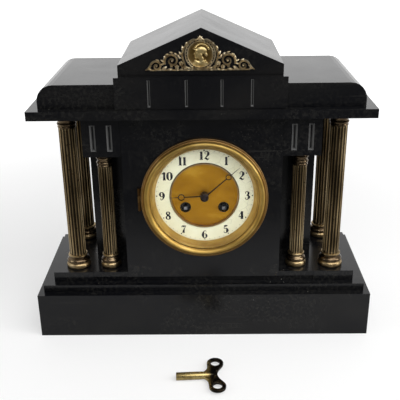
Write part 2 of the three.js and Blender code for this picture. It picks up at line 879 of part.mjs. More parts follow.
function makeColumns() {
  for (const [side, sign] of [['left', -1], ['right', 1]]) {
    const outer = [outerShaftRadius, outerBaseRadius, outerCapitalRadius, corniceBase];
    const inner = [innerShaftRadius, innerBaseRadius, innerCapitalRadius, corniceBase - friezeBlockHeight];
    const frontInset = side === 'left' ? frontLeftInset : 0;
    makeColumn(`column_front_outer_${side}`, sign * (outerColumnX - frontInset), -columnFront, ...outer);
    makeColumn(`column_rear_${side}`, sign * outerColumnX, columnFront, ...outer);
    makeColumn(`column_front_inner_${side}`, sign * innerColumnX, -columnFront, ...inner);
  }
}

// Knuckle of a hinge on an upright pin at the given place
function knuckle(x, y, bottom, top) {
  const cylinder = new THREE.CylinderGeometry(hingePinRadius, hingePinRadius, top - bottom, pivotSides);
  return toSolid(cylinder.rotateX(Math.PI / 2).translate(x, y, (bottom + top) / 2));
}

function addDialPiece(name, solid, material) {
  return addPiece(name, solid, material, dialGroup);
}

// Dial pan: wall, flange on the slate, floor with the recessed gilt centre, hinge leaf, straps and feet
function makeDialPan() {
  const flangeBack = -slateFace - seatGap;
  const rimOuter = enamelInnerRadius - seatGap;
  const rimFront = enamelFront - centreRimRise;
  const pan = turned(centrePlace, [
    [0, panFloorBack], [panInnerRadius + panWall, panFloorBack], [panInnerRadius + panWall, flangeBack],
    [flangeRadius, flangeBack], [flangeRadius, flangeBack - flangeThickness],
    [panInnerRadius, flangeBack - flangeThickness], [panInnerRadius, panFloorFront],
    [rimOuter, panFloorFront], [rimOuter, rimFront], [rimOuter - centreRimWidth, rimFront],
    [rimOuter - centreRimWidth, panFloorFront], [0, panFloorFront],
  ], largeSides);
  const straps = strapAngles.map((degrees) => strap(degrees));
  const feet = pillarAngles.map((degrees) => rod(
    placeAlong(centrePlace, pillarCircle, degrees), dialFootRadius,
    panFloorBack - panFloorThickness / 2, frontPlateFront - seatGap, arborSides,
  ));
  const holes = [
    rod(centrePlace, centreHoleRadius, enamelFront, panFloorBack + overrun),
    rod(regulatorPlace, regulatorHoleRadius, enamelFront, panFloorBack + overrun, pivotSides),
    ...[goingBarrelPlace, strikeBarrelPlace].map((place) => rod(
      place, windingHoleRadius, enamelFront, panFloorBack + overrun, mediumSides,
    )),
  ];
  const hinge = hingeEnds(
    -hingeReach, -slateFace - hingeStandoff, hingeLength, flangeBack - flangeThickness, flangeBack,
    -flangeRadius,
  );
  addDialPiece('dial_pan', cut(join(pan, ...straps, ...feet, hinge), ...holes), gilt);
}

// Strap from the pan's floor to the rear ring
function strap(degrees) {
  const angle = THREE.MathUtils.degToRad(degrees);
  const front = panFloorBack - panFloorThickness / 2;
  const back = rearRingFront - seatGap;
  const bar = new THREE.BoxGeometry(strapThickness, back - front, strapWidth);
  bar.translate(strapCircle, (front + back) / 2, 0).rotateY(-angle);
  return toSolid(bar.translate(0, 0, dialHeight));
}

// The two outer knuckles of a hinge on the leaf that carries them
function hingeEnds(pinX, pinY, length, leafFront, leafBack, leafRootX) {
  const half = length / 2;
  const inner = length * knuckleShare / 2 + runningGap;
  const leafLeft = Math.min(pinX, leafRootX) - (leafRootX > pinX ? 0 : overrun);
  const leafRight = Math.max(pinX, leafRootX) + (leafRootX > pinX ? overrun : 0);
  return join(...[-1, 1].map((sign) => {
    const ends = [dialHeight + sign * inner, dialHeight + sign * half];
    const bottom = Math.min(...ends);
    const top = Math.max(...ends);
    return join(
      knuckle(pinX, pinY, bottom, top),
      block(leafLeft, leafRight, leafFront, leafBack, bottom, top),
    );
  }), block(
    leafRootX > pinX ? leafRootX - overrun : leafLeft, leafRootX > pinX ? leafRight : leafRootX + overrun,
    leafFront, leafBack, dialHeight - half, dialHeight + half,
  ));
}

function makeDialRing() {
  const shape = polygon(circlePoints([0, dialHeight], enamelOuterRadius, largeSides));
  shape.holes.push(polygon(circlePoints([0, dialHeight], enamelInnerRadius, largeSides)));
  shape.holes.push(polygon(circlePoints([0, dialHeight + regulatorRise], regulatorHoleRadius, pivotSides)));
  addDialPiece('dial_ring', plateOf(shape, enamelFront, enamelFront + enamelThickness), enamel);
}

// Bezel: sloping sight ring, rebate for the glass, main moulding, cove and rope edge, and its hinge lug
function makeBezel() {
  const flangeTop = seatGap + flangeThickness + seatGap;
  const rebateFloor = glassSeat - seatGap;
  const rebateRadius = glassRadius + seatGap;
  const sightDepth = dialSetback - sightGap;
  const depthOf = (rise) => -slateFace - rise;
  const moulding = bezelShares.map(([across, rise]) => [
    rebateRadius + across * (bezelRadius - rebateRadius), rise * bezelHeight,
  ]);
  const profile = [
    [sightRadius, -sightDepth], [panInnerRadius - seatGap, rebateFloor], [rebateRadius, rebateFloor],
    ...moulding,
    [flangeRadius + 2 * seatGap, seatGap], [flangeRadius + 2 * seatGap, flangeTop],
    [panInnerRadius - seatGap, flangeTop], [sightRadius + bezelSightWidth, -sightDepth],
    [sightRadius, -sightDepth],
  ];
  const ring = turned(centrePlace, profile.map(([radius, rise]) => [radius, depthOf(rise)]), largeSides);
  const pinY = -slateFace - hingeStandoff;
  const half = hingeLength / 2 + runningGap;
  const notch = block(
    -hingeReach - 2 * hingePinRadius, runningGap + hingePinRadius - hingeReach,
    pinY - hingePinRadius - runningGap, -slateFace, dialHeight - half, dialHeight + half,
  );
  const leafNotch = block(
    -hingeReach, 2 * overrun - flangeRadius, depthOf(flangeTop), -slateFace,
    dialHeight - half, dialHeight + half,
  );
  const lugHalf = (hingeLength * knuckleShare) / 2;
  const lug = join(
    knuckle(-hingeReach, pinY, dialHeight - lugHalf, dialHeight + lugHalf),
    block(
      -hingeReach, -flangeRadius, depthOf(flangeTop + lugThickness), depthOf(flangeTop + seatGap),
      dialHeight - lugHalf, dialHeight + lugHalf,
    ),
  );
  addDialPiece('bezel', join(cut(ring, notch, leafNotch), lug), gilt);
}

// Slightly domed glass, held in the bezel's rebate
function makeBezelGlass() {
  const back = -slateFace - glassSeat;
  const rear = glassShares.map(([radius, rise]) => [radius * glassRadius, back - rise * glassRise]);
  const front = rear.map(([radius, depth]) => [radius, depth - glassThickness]).reverse();
  addDialPiece('bezel_glass', turned(centrePlace, [...rear, ...front], largeSides), clearGlass);
}

// Hand on its collet, with a ring in its length, pointing up and then turned clockwise to its place
function hand(length, ringPlace, ringRadius, colletLength, bore, front, degrees) {
  const back = front + handThickness;
  const colletBack = front + colletLength;
  const flat = (points, holes = []) => {
    const shape = polygon(points);
    holes.forEach((hole) => shape.holes.push(polygon(hole)));
    return plateOf(shape, front, back);
  };
  const halfRoot = handRootWidth / 2;
  const halfNeck = handNeckWidth / 2;
  const solid = cut(
    join(
      plateOf(polygon(circlePoints([0, 0], handEyeRadius, mediumSides)), front, colletBack),
      flat([[-halfRoot, 0], [halfRoot, 0], [halfNeck, ringPlace - ringRadius + handRingWidth / 2],
        [-halfNeck, ringPlace - ringRadius + handRingWidth / 2]]),
      flat(circlePoints([0, ringPlace], ringRadius, smallSides),
        [circlePoints([0, ringPlace], ringRadius - handRingWidth, smallSides)]),
      flat([[-halfNeck, ringPlace + ringRadius - handRingWidth / 2],
        [halfNeck, ringPlace + ringRadius - handRingWidth / 2], [0, length]]),
    ),
    plateOf(polygon(circlePoints([0, 0], bore, smallSides)), front - overrun, colletBack + overrun),
  );
  return solid.rotate([0, degrees, 0]).translate([0, 0, dialHeight]);
}

function makeHands() {
  addDialPiece('hour_hand', hand(
    hourLength, hourRingPlace, hourRingRadius, hourColletLength, hourPipeRadius + seatGap, hourHandFront,
    hourHandAngle,
  ), bluedSteel);
  addDialPiece('minute_hand', hand(
    minuteLength, minuteRingPlace, minuteRingRadius, minuteColletLength, minuteArborRadius + seatGap,
    minuteHandFront, minuteHandAngle,
  ), bluedSteel);
}

// Domed nut on the end of the minute arbor
function makeHandNut() {
  const back = minuteHandFront - seatGap;
  const dome = handNutShares.map(([radius, rise]) => [radius * handNutRadius, back - rise * handNutHeight]);
  const nut = turned(centrePlace, [[0, back], ...dome, [0, back - handNutHeight]], mediumSides);
  const bore = rod(centrePlace, minuteArborRadius + seatGap, back - handNutBore, back + overrun);
  addDialPiece('hand_nut', cut(nut, bore), bluedSteel);
}

function pivotHoles(places, front, back) {
  return places.map((place) => rod(place, pivotHoleRadius, front - overrun, back + overrun, arborSides));
}

function makeFrontPlate() {
  const disc = rod(centrePlace, plateRadius, frontPlateFront, frontPlateBack, largeSides);
  const holes = [
    ...pivotHoles([
      secondPlace, thirdPlace, escapePlace, palletPlace, strikeSecondPlace, pinWheelPlace, lockingPlace,
      flyPlace, hammerPlace, minuteWheelPlace,
    ], frontPlateFront, frontPlateBack),
    rod(centrePlace, minuteArborRadius + runningGap, frontPlateFront - overrun, frontPlateBack + overrun),
    ...[goingBarrelPlace, strikeBarrelPlace].map((place) => rod(
      place, windingArborRadius + runningGap, frontPlateFront - overrun, frontPlateBack + overrun,
    )),
  ];
  addDialPiece('front_plate', cut(disc, ...holes), brass);
}

function makeBackPlate() {
  const disc = rod(centrePlace, plateRadius, backPlateFront, backPlateBack, largeSides);
  const pillars = pillarAngles.map((degrees) => rod(
    placeAlong(centrePlace, pillarCircle, degrees), pillarRadius, frontPlateBack + seatGap,
    backPlateFront + plateThickness / 2, arborSides,
  ));
  const holes = [
    ...pivotHoles([secondPlace, thirdPlace, escapePlace, pinWheelPlace, lockingPlace, flyPlace],
      backPlateFront, backPlateBack),
    rod(centrePlace, pivotHoleRadius, backPlateFront - overrun, backPlateBack + overrun, pivotSides),
    ...[goingBarrelPlace, strikeBarrelPlace, palletPlace, strikeSecondPlace, hammerPlace].map((place) => rod(
      place, anchorHoleRadius, backPlateFront - overrun, backPlateBack + overrun, pivotSides,
    )),
  ];
  addDialPiece('back_plate', cut(join(disc, ...pillars), ...holes), brass);
}

// Barrel: drum with a toothed flange at its back, free on its winding arbor
function makeBarrel(name, place, nextPlace) {
  const front = frontPlateBack + drumLevel;
  const flange = front + drumLength;
  const drum = rod(place, drumRadius, front, flange + flangeToothWidth / 2, mediumSides);
  const teeth = plateOf(
    polygon(toothOutline(place, barrelTeeth, barrelModule, angleBetween(place, nextPlace), false)),
    flange, flange + flangeToothWidth,
  );
  const back = flange + flangeToothWidth + overrun;
  const bore = rod(place, windingArborRadius + runningGap, front - overrun, back);
  addDialPiece(name, cut(join(drum, teeth), bore), brass);
}

function makeWindingArbor(name, place) {
  const ratchetFront = frontPlateFront - seatGap - ratchetThickness;
  const squareHalf = squareSize / 2;
  const square = block(
    place[0] - squareHalf, place[0] + squareHalf, panFloorFront - squareReach, ratchetFront + overrun,
    place[1] + dialHeight - squareHalf, place[1] + dialHeight + squareHalf,
  );
  const ratchetOutline = [];
  const step = (2 * Math.PI) / ratchetTeeth;
  for (let i = 0; i < ratchetTeeth; i += 1) {
    const rootRadius = ratchetRadius - ratchetToothDepth;
    const corners = [[ratchetRadius, i * step], [rootRadius, (i + ratchetRakeShare) * step]];
    for (const [radius, angle] of corners) {
      ratchetOutline.push([place[0] + radius * Math.cos(angle), place[1] + radius * Math.sin(angle)]);
    }
  }
  const ratchet = plateOf(polygon(raised(ratchetOutline)), ratchetFront, frontPlateFront - seatGap);
  const shaft = steppedArbor(place, [
    [ratchetFront + ratchetThickness / 2, windingArborRadius],
    [backPlateFront - seatGap, windingArborRadius / 2],
  ], backPlateBack - seatGap, smallSides);
  addDialPiece(name, join(square, ratchet, shaft), steel);
}

function wheelLevel(level) {
  return frontPlateBack + level;
}

const barrelFlangeLevel = wheelLevel(drumLevel + drumLength);

function makeGoingTrain() {
  makeBarrel('going_barrel', goingBarrelPlace, secondPlace);
  makeWindingArbor('going_winding_arbor', goingBarrelPlace);
  addDialPiece('going_second_wheel', join(
    plainArbor(secondPlace),
    pinion(secondPlace, barrelPinionTeeth, barrelModule, angleBetween(secondPlace, goingBarrelPlace),
      barrelFlangeLevel, flangeToothWidth),
    wheel(secondPlace, secondTeeth, secondModule, angleBetween(secondPlace, centrePlace),
      wheelLevel(secondLevel)),
  ), brass);
  addDialPiece('third_wheel', join(
    plainArbor(thirdPlace),
    pinion(thirdPlace, thirdPinionTeeth, centreModule, angleBetween(thirdPlace, centrePlace),
      wheelLevel(centreLevel)),
    wheel(thirdPlace, thirdTeeth, thirdModule, angleBetween(thirdPlace, escapePlace), wheelLevel(thirdLevel)),
  ), brass);
}

// Centre wheel on the minute arbor, which carries the cannon pinion and the minute hand in front
function makeCentreWheel() {
  const arbor = steppedArbor(centrePlace, [
    [minuteHandFront - seatGap - minuteArborReach, minuteArborRadius],
    [backPlateFront - seatGap, pivotRadius],
  ], backPlateBack - seatGap, pivotSides);
  const cannonFront = frontPlateFront - cannonLevel - wheelThickness;
  addDialPiece('centre_wheel', join(
    arbor,
    pinion(centrePlace, centrePinionTeeth, secondModule, angleBetween(centrePlace, secondPlace),
      wheelLevel(secondLevel)),
    wheel(centrePlace, centreTeeth, centreModule, angleBetween(centrePlace, thirdPlace),
      wheelLevel(centreLevel)),
    plateOf(
      polygon(toothOutline(centrePlace, cannonTeeth, cannonModule, Math.PI / 2, true)),
      cannonFront, frontPlateFront - seatGap,
    ),
  ), brass);
}

// Escape wheel with pointed raked teeth
function makeEscapeWheel() {
  const step = (2 * Math.PI) / escapeTeeth;
  const start = Math.PI / 2 + step / 2;
  const outline = [];
  for (let i = 0; i < escapeTeeth; i += 1) {
    const tip = start + i * step;
    outline.push([escapeRadius * Math.cos(tip), escapeRise + escapeRadius * Math.sin(tip)]);
    const root = escapeRadius - escapeToothDepth;
    const foot = tip + step * escapeRakeShare;
    outline.push([root * Math.cos(foot), escapeRise + root * Math.sin(foot)]);
  }
  const shape = polygon(raised(outline));
  const wheelRadius = escapeRadius - escapeToothDepth;
  crossings(escapePlace, wheelRadius).forEach((window) => shape.holes.push(polygon(window)));
  const front = wheelLevel(escapeLevel);
  addDialPiece('escape_wheel', join(
    plainArbor(escapePlace),
    pinion(escapePlace, escapePinionTeeth, thirdModule, angleBetween(escapePlace, thirdPlace),
      wheelLevel(thirdLevel)),
    plateOf(shape, front, front + wheelThickness),
  ), steel);
}

// Anchor: a curved arm over the escape wheel with a pallet at each end, on the arbor of the crutch
function makeAnchor() {
  const inner = escapeRadius + palletGap;
  const outer = palletRise - escapeRise + anchorArmWidth;
  const atAngle = (radius, degrees) => {
    const angle = THREE.MathUtils.degToRad(90 - degrees);
    return [radius * Math.cos(angle), escapeRise + radius * Math.sin(angle)];
  };
  const arm = palletSpanAngle - palletWidthAngle;
  const hollow = [arm, arm / 2, 0, -arm / 2, -arm].map((a) => atAngle(inner + palletRelief, a));
  const crown = [-palletSpanAngle, -palletSpanAngle / 2].map((a) => atAngle((inner + outer) / 2, a));
  const crownRight = [palletSpanAngle / 2, palletSpanAngle].map((a) => atAngle((inner + outer) / 2, a));
  const outline = raised([
    atAngle(inner, palletSpanAngle), atAngle(inner, arm), ...hollow, atAngle(inner, -arm),
    atAngle(inner, -palletSpanAngle), ...crown, atAngle(outer, 0), ...crownRight,
  ]);
  const front = wheelLevel(escapeLevel) + (wheelThickness - anchorThickness) / 2;
  const crutchFront = backPlateBack + crutchOffset;
  const crutchBack = crutchFront + crutchThickness;
  const arbor = steppedArbor(palletPlace, [
    [frontPlateFront + seatGap, pivotRadius], [frontPlateBack + seatGap, arborRadius],
  ], crutchBack);
  const half = crutchWidth / 2;
  const top = palletHeight + crutchWidth;
  const foot = palletHeight - crutchLength;
  const slotHalf = rodRadius + runningGap;
  const prong = (sign) => {
    const ends = [sign * slotHalf, sign * (slotHalf + forkProngWidth)];
    return block(
      Math.min(...ends), Math.max(...ends), crutchFront, pendulumPlane + rodRadius, foot, foot + forkHeight,
    );
  };
  const forkHalf = slotHalf + forkProngWidth;
  addDialPiece('anchor', join(
    arbor, plateOf(polygon(outline), front, front + anchorThickness),
    block(-half, half, crutchFront, crutchBack, foot, top),
    block(-forkHalf, forkHalf, crutchFront, crutchBack, foot, foot + forkHeight),
    prong(-1), prong(1),
  ), steel);
}

function makeStrikeTrain() {
  makeBarrel('strike_barrel', strikeBarrelPlace, strikeSecondPlace);
  makeWindingArbor('strike_winding_arbor', strikeBarrelPlace);
  makeStrikeSecondWheel();
  makePinWheel();
  addDialPiece('locking_wheel', join(
    plainArbor(lockingPlace),
    pinion(lockingPlace, lockingPinionTeeth, pinModule, angleBetween(lockingPlace, pinWheelPlace),
      wheelLevel(pinLevel)),
    wheel(lockingPlace, lockingTeeth, lockingModule, angleBetween(lockingPlace, flyPlace),
      wheelLevel(lockingLevel)),
  ), brass);
  const vane = block(
    flyPlace[0] - flyReach, flyPlace[0] + flyReach, wheelLevel(flyLevel), wheelLevel(flyLevel) + flyLength,
    flyPlace[1] + dialHeight - flyThickness / 2, flyPlace[1] + dialHeight + flyThickness / 2,
  );
  addDialPiece('fly', join(
    plainArbor(flyPlace), vane,
    pinion(flyPlace, flyPinionTeeth, lockingModule, angleBetween(flyPlace, lockingPlace),
      wheelLevel(lockingLevel)),
  ), steel);
}

// Second wheel of the strike, with the count wheel on its arbor behind the back plate
function makeStrikeSecondWheel() {
  const countFront = backPlateBack + countWheelOffset;
  const arbor = steppedArbor(strikeSecondPlace, [
    [frontPlateFront + seatGap, pivotRadius], [frontPlateBack + seatGap, arborRadius],
  ], countFront + countWheelThickness);
  addDialPiece('strike_second_wheel', join(
    arbor,
    pinion(strikeSecondPlace, barrelPinionTeeth, barrelModule,
      angleBetween(strikeSecondPlace, strikeBarrelPlace), barrelFlangeLevel, flangeToothWidth),
    wheel(strikeSecondPlace, strikeSecondTeeth, strikeSecondModule,
      angleBetween(strikeSecondPlace, pinWheelPlace), wheelLevel(secondLevel)),
    plateOf(polygon(countWheelOutline()), countFront, countFront + countWheelThickness),
  ), brass);
}

// Count wheel: a notch after each hour's strokes and one after each single half-hour stroke
function countWheelOutline() {
  const hours = 12;
  const strokes = (hours * (hours + 1)) / 2 + hours * halfHourStrokes;
  const step = (2 * Math.PI) / strokes;
  const points = [];
  let stroke = 0;
  const addNotch = () => {
    const half = (countNotchShare * step) / 2;
    const middle = stroke * step;
    const floor = countWheelRadius - countNotchDepth;
    const corners = [[countWheelRadius, middle - half], [floor, middle], [countWheelRadius, middle + half]];
    for (const [radius, angle] of corners) {
      points.push([
        strikeSecondPlace[0] + radius * Math.cos(angle), strikeSecondPlace[1] + radius * Math.sin(angle),
      ]);
    }
  };
  for (let hour = 1; hour <= hours; hour += 1) {
    stroke += hour;
    addNotch();
    stroke += halfHourStrokes;
    addNotch();
  }
  return raised(points);
}

function makePinWheel() {
  const level = wheelLevel(pinLevel);
  const pins = [];
  for (let i = 0; i < liftingPinCount; i += 1) {
    const place = placeAlong(pinWheelPlace, liftingPinCircle, (i * fullTurn) / liftingPinCount);
    pins.push(rod(place, liftingPinRadius, level - liftingPinLength, level + wheelThickness / 2, arborSides));
  }
  addDialPiece('pin_wheel', join(
    plainArbor(pinWheelPlace),
    pinion(pinWheelPlace, pinPinionTeeth, strikeSecondModule, angleBetween(pinWheelPlace, strikeSecondPlace),
      wheelLevel(secondLevel)),
    wheel(pinWheelPlace, pinTeeth, pinModule, angleBetween(pinWheelPlace, lockingPlace), level, false),
    ...pins,
  ), brass);
}

// Flat bar between two places, widened equally on both sides
function bar(from, to, width, front, back) {
  const angle = angleBetween(from, to);
  const across = [(-Math.sin(angle) * width) / 2, (Math.cos(angle) * width) / 2];
  return plateOf(polygon(raised([
    [from[0] - across[0], from[1] - across[1]], [to[0] - across[0], to[1] - across[1]],
    [to[0] + across[0], to[1] + across[1]], [from[0] + across[0], from[1] + across[1]],
  ])), front, back);
}

// Hammer: tail by the lifting pins, arbor through the back plate, arm and head beside the bell's rim
function makeHammer() {
  const bellFront = backPlateBack + bellOffset;
  const strikeY = bellFront + hammerHeadRadius;
  const armBack = strikeY + hammerArmThickness / 2;
  const arbor = steppedArbor(hammerPlace, [
    [frontPlateFront + seatGap, pivotRadius], [frontPlateBack + seatGap, arborRadius],
  ], armBack);
  const pinSweep = liftingPinCircle + liftingPinRadius + hammerTailPlay;
  const reach = Math.hypot(pinWheelPlace[0] - hammerPlace[0], pinWheelPlace[1] - hammerPlace[1]) - pinSweep;
  const tailAngle = THREE.MathUtils.radToDeg(angleBetween(hammerPlace, pinWheelPlace));
  const tailEnd = placeAlong(hammerPlace, reach, tailAngle);
  const tailFront = wheelLevel(hammerTailLevel);
  const headRight = -(bellRadius + hammerGap);
  const headPlace = [headRight - hammerHeadLength / 2, -bellDrop];
  const head = new THREE.CylinderGeometry(hammerHeadRadius, hammerHeadRadius, hammerHeadLength, smallSides);
  head.rotateZ(Math.PI / 2).translate(headPlace[0], strikeY, headPlace[1] + dialHeight);
  addDialPiece('hammer', join(
    arbor,
    bar(hammerPlace, tailEnd, hammerTailWidth, tailFront, tailFront + wheelThickness),
    bar(hammerPlace, headPlace, hammerArmWidth, armBack - hammerArmThickness, armBack),
    toSolid(head),
  ), steel);
}

function makeBell() {
  const front = backPlateBack + bellOffset;
  const outer = bellShares.map(([r, d]) => [r * bellRadius, front + d * bellDepth]);
  const innerRadius = bellRadius - bellWall;
  const innerDepth = bellDepth - bellWall;
  const inner = bellShares.map(([r, d]) => [r * innerRadius, front + d * innerDepth]).reverse();
  const crown = [[bellHoleRadius, front + bellDepth], [bellHoleRadius, front + innerDepth]];
  const loop = [...outer, ...crown, ...inner];
  loop.push(loop[0]);
  addDialPiece('bell', turned(bellPlace, loop, mediumSides), bellMetal);
}

// Bell stand: foot on the back plate, rod into the bell, arm to its centre, stud through its crown and nut
function makeBellStand() {
  const footFront = backPlateBack + seatGap;
  const armBack = backPlateBack + standReach;
  const armFront = armBack - standArmThickness;
  const crown = backPlateBack + bellOffset + bellDepth;
  addDialPiece('bell_stand', join(
    rod(standPlace, standFootRadius, footFront, footFront + standFootThickness),
    rod(standPlace, standRodRadius, footFront, armBack, pivotSides),
    bar(standPlace, bellPlace, standArmWidth, armFront, armBack),
    rod(bellPlace, standStudRadius + standNutWall, armFront, crown - bellWall - seatGap),
    rod(bellPlace, standStudRadius, armFront, crown + standStudReach),
    rod(bellPlace, standStudRadius + standNutWall, crown + seatGap, crown + standNutHeight, arborSides),
  ), steel);
}

function makeMotionWork() {
  const minuteFront = frontPlateFront - cannonLevel - wheelThickness;
  const minuteArbor = steppedArbor(minuteWheelPlace, [
    [frontPlateFront - hourLevel - wheelThickness - pinionOverlap, arborRadius],
    [frontPlateFront - seatGap, pivotRadius],
  ], frontPlateBack - seatGap);
  const pinionFront = frontPlateFront - hourLevel - wheelThickness - pinionOverlap;
  addDialPiece('minute_wheel', join(
    minuteArbor,
    wheel(minuteWheelPlace, minuteWheelTeeth, cannonModule, -Math.PI / 2, minuteFront),
    plateOf(
      polygon(toothOutline(minuteWheelPlace, minutePinionTeeth, hourModule, -Math.PI / 2, true)),
      pinionFront, minuteFront + wheelThickness / 2,
    ),
  ), brass);
  const hourFront = frontPlateFront - hourLevel - wheelThickness;
  const hourShape = polygon(toothOutline(centrePlace, hourTeeth, hourModule, Math.PI / 2, false));
  const bore = rod(centrePlace, hourPipeBore, hourHandFront - overrun, frontPlateFront);
  addDialPiece('hour_wheel', cut(join(
    plateOf(hourShape, hourFront, hourFront + wheelThickness),
    rod(centrePlace, hourPipeRadius, hourHandFront - seatGap, hourFront + wheelThickness),
  ), bore), brass);
}

// Suspension cock on the back plate: foot, arm with the slot for the spring, boss for the regulating arbor
function makeSuspensionCock() {
  const front = backPlateBack + seatGap;
  const slotBase = palletHeight + springBottom;
  const armBack = pendulumPlane + springWidth / 2 + cockThickness;
  const armHalf = cockArmWidth / 2;
  const foot = block(
    -cockWidth / 2, cockWidth / 2, front, front + cockThickness, slotBase, dialHeight + plateRadius - overrun,
  );
  const arm = block(-armHalf, armHalf, front, armBack, slotBase, slotBase + cockArmHeight);
  const neckHalf = regulatorBoss / 2;
  const neck = block(
    -neckHalf, neckHalf, front, front + cockThickness, slotBase, dialHeight + regulatorRise,
  );
  const boss = rod(regulatorPlace, regulatorBoss, front, front + cockThickness);
  const hole = rod(
    regulatorPlace, regulatorRadius + runningGap, front - overrun, front + cockThickness + overrun,
    pivotSides,
  );
  const slotHalf = springThickness / 2 + springSlotGap;
  const slot = block(
    -slotHalf, slotHalf, pendulumPlane - springWidth / 2 - seatGap, pendulumPlane + springWidth / 2 + seatGap,
    slotBase - overrun, palletHeight + springTop + seatGap,
  );
  addDialPiece('suspension_cock', cut(join(foot, arm, neck, boss), slot, hole), brass);
}

// Rod with its suspension spring at the top and the rating nut under the bob
function makePendulumRod() {
  const springHalf = springThickness / 2;
  const hookTop = palletHeight - springBottom;
  const hookBottom = hookTop - hookHeight;
  const bobHeight = palletHeight - bobDrop;
  const nutTop = bobHeight - bobRadius - seatGap;
  const nutBottom = nutTop - ratingNutHeight;
  const upright = (radius, bottom, top, sides) => {
    const cylinder = new THREE.CylinderGeometry(radius, radius, top - bottom, sides);
    return toSolid(cylinder.rotateX(Math.PI / 2).translate(0, pendulumPlane, (bottom + top) / 2));
  };
  addDialPiece('pendulum_rod', join(
    block(
      -springHalf, springHalf, pendulumPlane - springWidth / 2, pendulumPlane + springWidth / 2,
      hookTop - overrun, palletHeight + springTop,
    ),
    block(
      -hookWidth / 2, hookWidth / 2, pendulumPlane - hookDepth / 2, pendulumPlane + hookDepth / 2,
      hookBottom, hookTop,
    ),
    upright(rodRadius, nutBottom - overrun, hookBottom + overrun, pivotSides),
    upright(ratingNutRadius, nutBottom, nutTop, smallSides),
  ), steel);
}

function makePendulumBob() {
  const half = bobThickness / 2;
  const place = [0, palletRise - bobDrop];
  const lens = bobShares.map(([radius, depth]) => [radius * bobRadius, pendulumPlane + depth * half]);
  const disc = turned(place, lens, mediumSides);
  const bore = new THREE.CylinderGeometry(
    rodRadius + seatGap, rodRadius + seatGap, 2 * (bobRadius + overrun), pivotSides,
  );
  bore.rotateX(Math.PI / 2).translate(0, pendulumPlane, place[1] + dialHeight);
  addDialPiece('pendulum_bob', cut(disc, toSolid(bore)), brass);
}

// Long arbor from the small square above twelve to the suspension cock
function makeRegulatorArbor() {
  const half = regulatorRadius * regulatorSquareShare;
  const front = enamelFront;
  const square = block(
    -half, half, front, front + enamelThickness + overrun,
    dialHeight + regulatorRise - half, dialHeight + regulatorRise + half,
  );
  const shaft = rod(
    regulatorPlace, regulatorRadius, front + enamelThickness,
    backPlateBack + seatGap + cockThickness + overrun, pivotSides,
  );
  addDialPiece('regulator_arbor', join(square, shaft), steel);
}

function makeRearRing() {
  const back = rearRingFront + rearRingThickness;
  const ring = turned(centrePlace, [
    [rearRingInner, rearRingFront], [rearRingOuter, rearRingFront], [rearRingOuter, back],
    [rearRingInner, back], [rearRingInner, rearRingFront],
  ], largeSides);
  const pinY = bodyBack + rearRingThickness + doorHingeStandoff;
  const hinge = hingeEnds(
    doorHingeReach, pinY, doorHingeLength, rearRingFront, back, rearRingOuter - rearRingThickness,
  );
  const posts = [-1, 1].map((sign) => {
    const inner = (doorHingeLength * knuckleShare) / 2 + runningGap;
    const ends = [dialHeight + sign * inner, (dialHeight + (sign * doorHingeLength) / 2)];
    return block(
      doorHingeReach - hingePinRadius / 2, doorHingeReach + hingePinRadius / 2, rearRingFront, pinY,
      Math.min(...ends), Math.max(...ends),
    );
  });
  addDialPiece('rear_ring', join(ring, hinge, ...posts), brass);
}

function makeBackDoor() {
  const front = rearRingFront + rearRingThickness + seatGap;
  const back = front + doorRimThickness;
  const disc = turned(centrePlace, [
    [0, front], [doorRadius, front], [doorRadius, back],
    ...doorDomeShares.map(([radius, rise]) => [radius * doorDomeRadius, back + rise * doorDomeRise]),
  ], largeSides);
  const knobPlace = [doorKnobInset - doorDomeRadius, 0];
  const knob = rod(knobPlace, doorKnobRadius, back, back + doorDomeRise + doorKnobHeight);
  const pinY = bodyBack + rearRingThickness + doorHingeStandoff;
  const lugHalf = (doorHingeLength * knuckleShare) / 2;
  const lug = join(
    knuckle(doorHingeReach, pinY, dialHeight - lugHalf, dialHeight + lugHalf),
    block(
      doorDomeRadius, doorHingeReach, front + seatGap, back, dialHeight - lugHalf, dialHeight + lugHalf,
    ),
  );
  const half = doorHingeLength / 2 + runningGap;
  const notch = block(
    doorHingeReach - hingePinRadius - 2 * runningGap, doorHingeReach + hingePinRadius, front - overrun,
    back + overrun, dialHeight - half, dialHeight + half,
  );
  addDialPiece('back_door', join(cut(join(disc, knob), notch), lug), brass);
}

// Curved band of the mount: its radius runs evenly from the start to the end of its sweep
function scroll(curve, sign, base) {
  const steps = Math.ceil(Math.abs(curve.sweep) / scrollStepAngle);
  const outer = [];
  const inner = [];
  for (let i = 0; i <= steps; i += 1) {
    const angle = THREE.MathUtils.degToRad(curve.start + (curve.sweep * i) / steps);
    const middle = curve.radius + ((curve.end - curve.radius) * i) / steps;
    const at = (radius) => [
      sign * (curve.x + radius * Math.cos(angle)), base + curve.rise + radius * Math.sin(angle),
    ];
    outer.push(at(middle + curve.width / 2));
    inner.push(at(middle - curve.width / 2));
  }
  return mountPlate([...outer, ...inner.reverse()], mountThickness);
}

// Flat part of the mount, held just off the pediment's face
function mountPlate(points, thickness, hole) {
  const back = -pedimentFront - seatGap;
  const shape = polygon(points);
  if (hole) shape.holes.push(polygon(hole));
  return plateOf(shape, back - thickness, back);
}

// Rounded boss of the relief
function mountBoss(semiAxes, height) {
  const [across, out, up] = semiAxes;
  const sphere = new THREE.SphereGeometry(1, smallSides, arborSides).rotateX(Math.PI / 2);
  const depth = -pedimentFront - seatGap - mountThickness;
  return toSolid(sphere.scale(across, out, up).translate(0, depth, height));
}

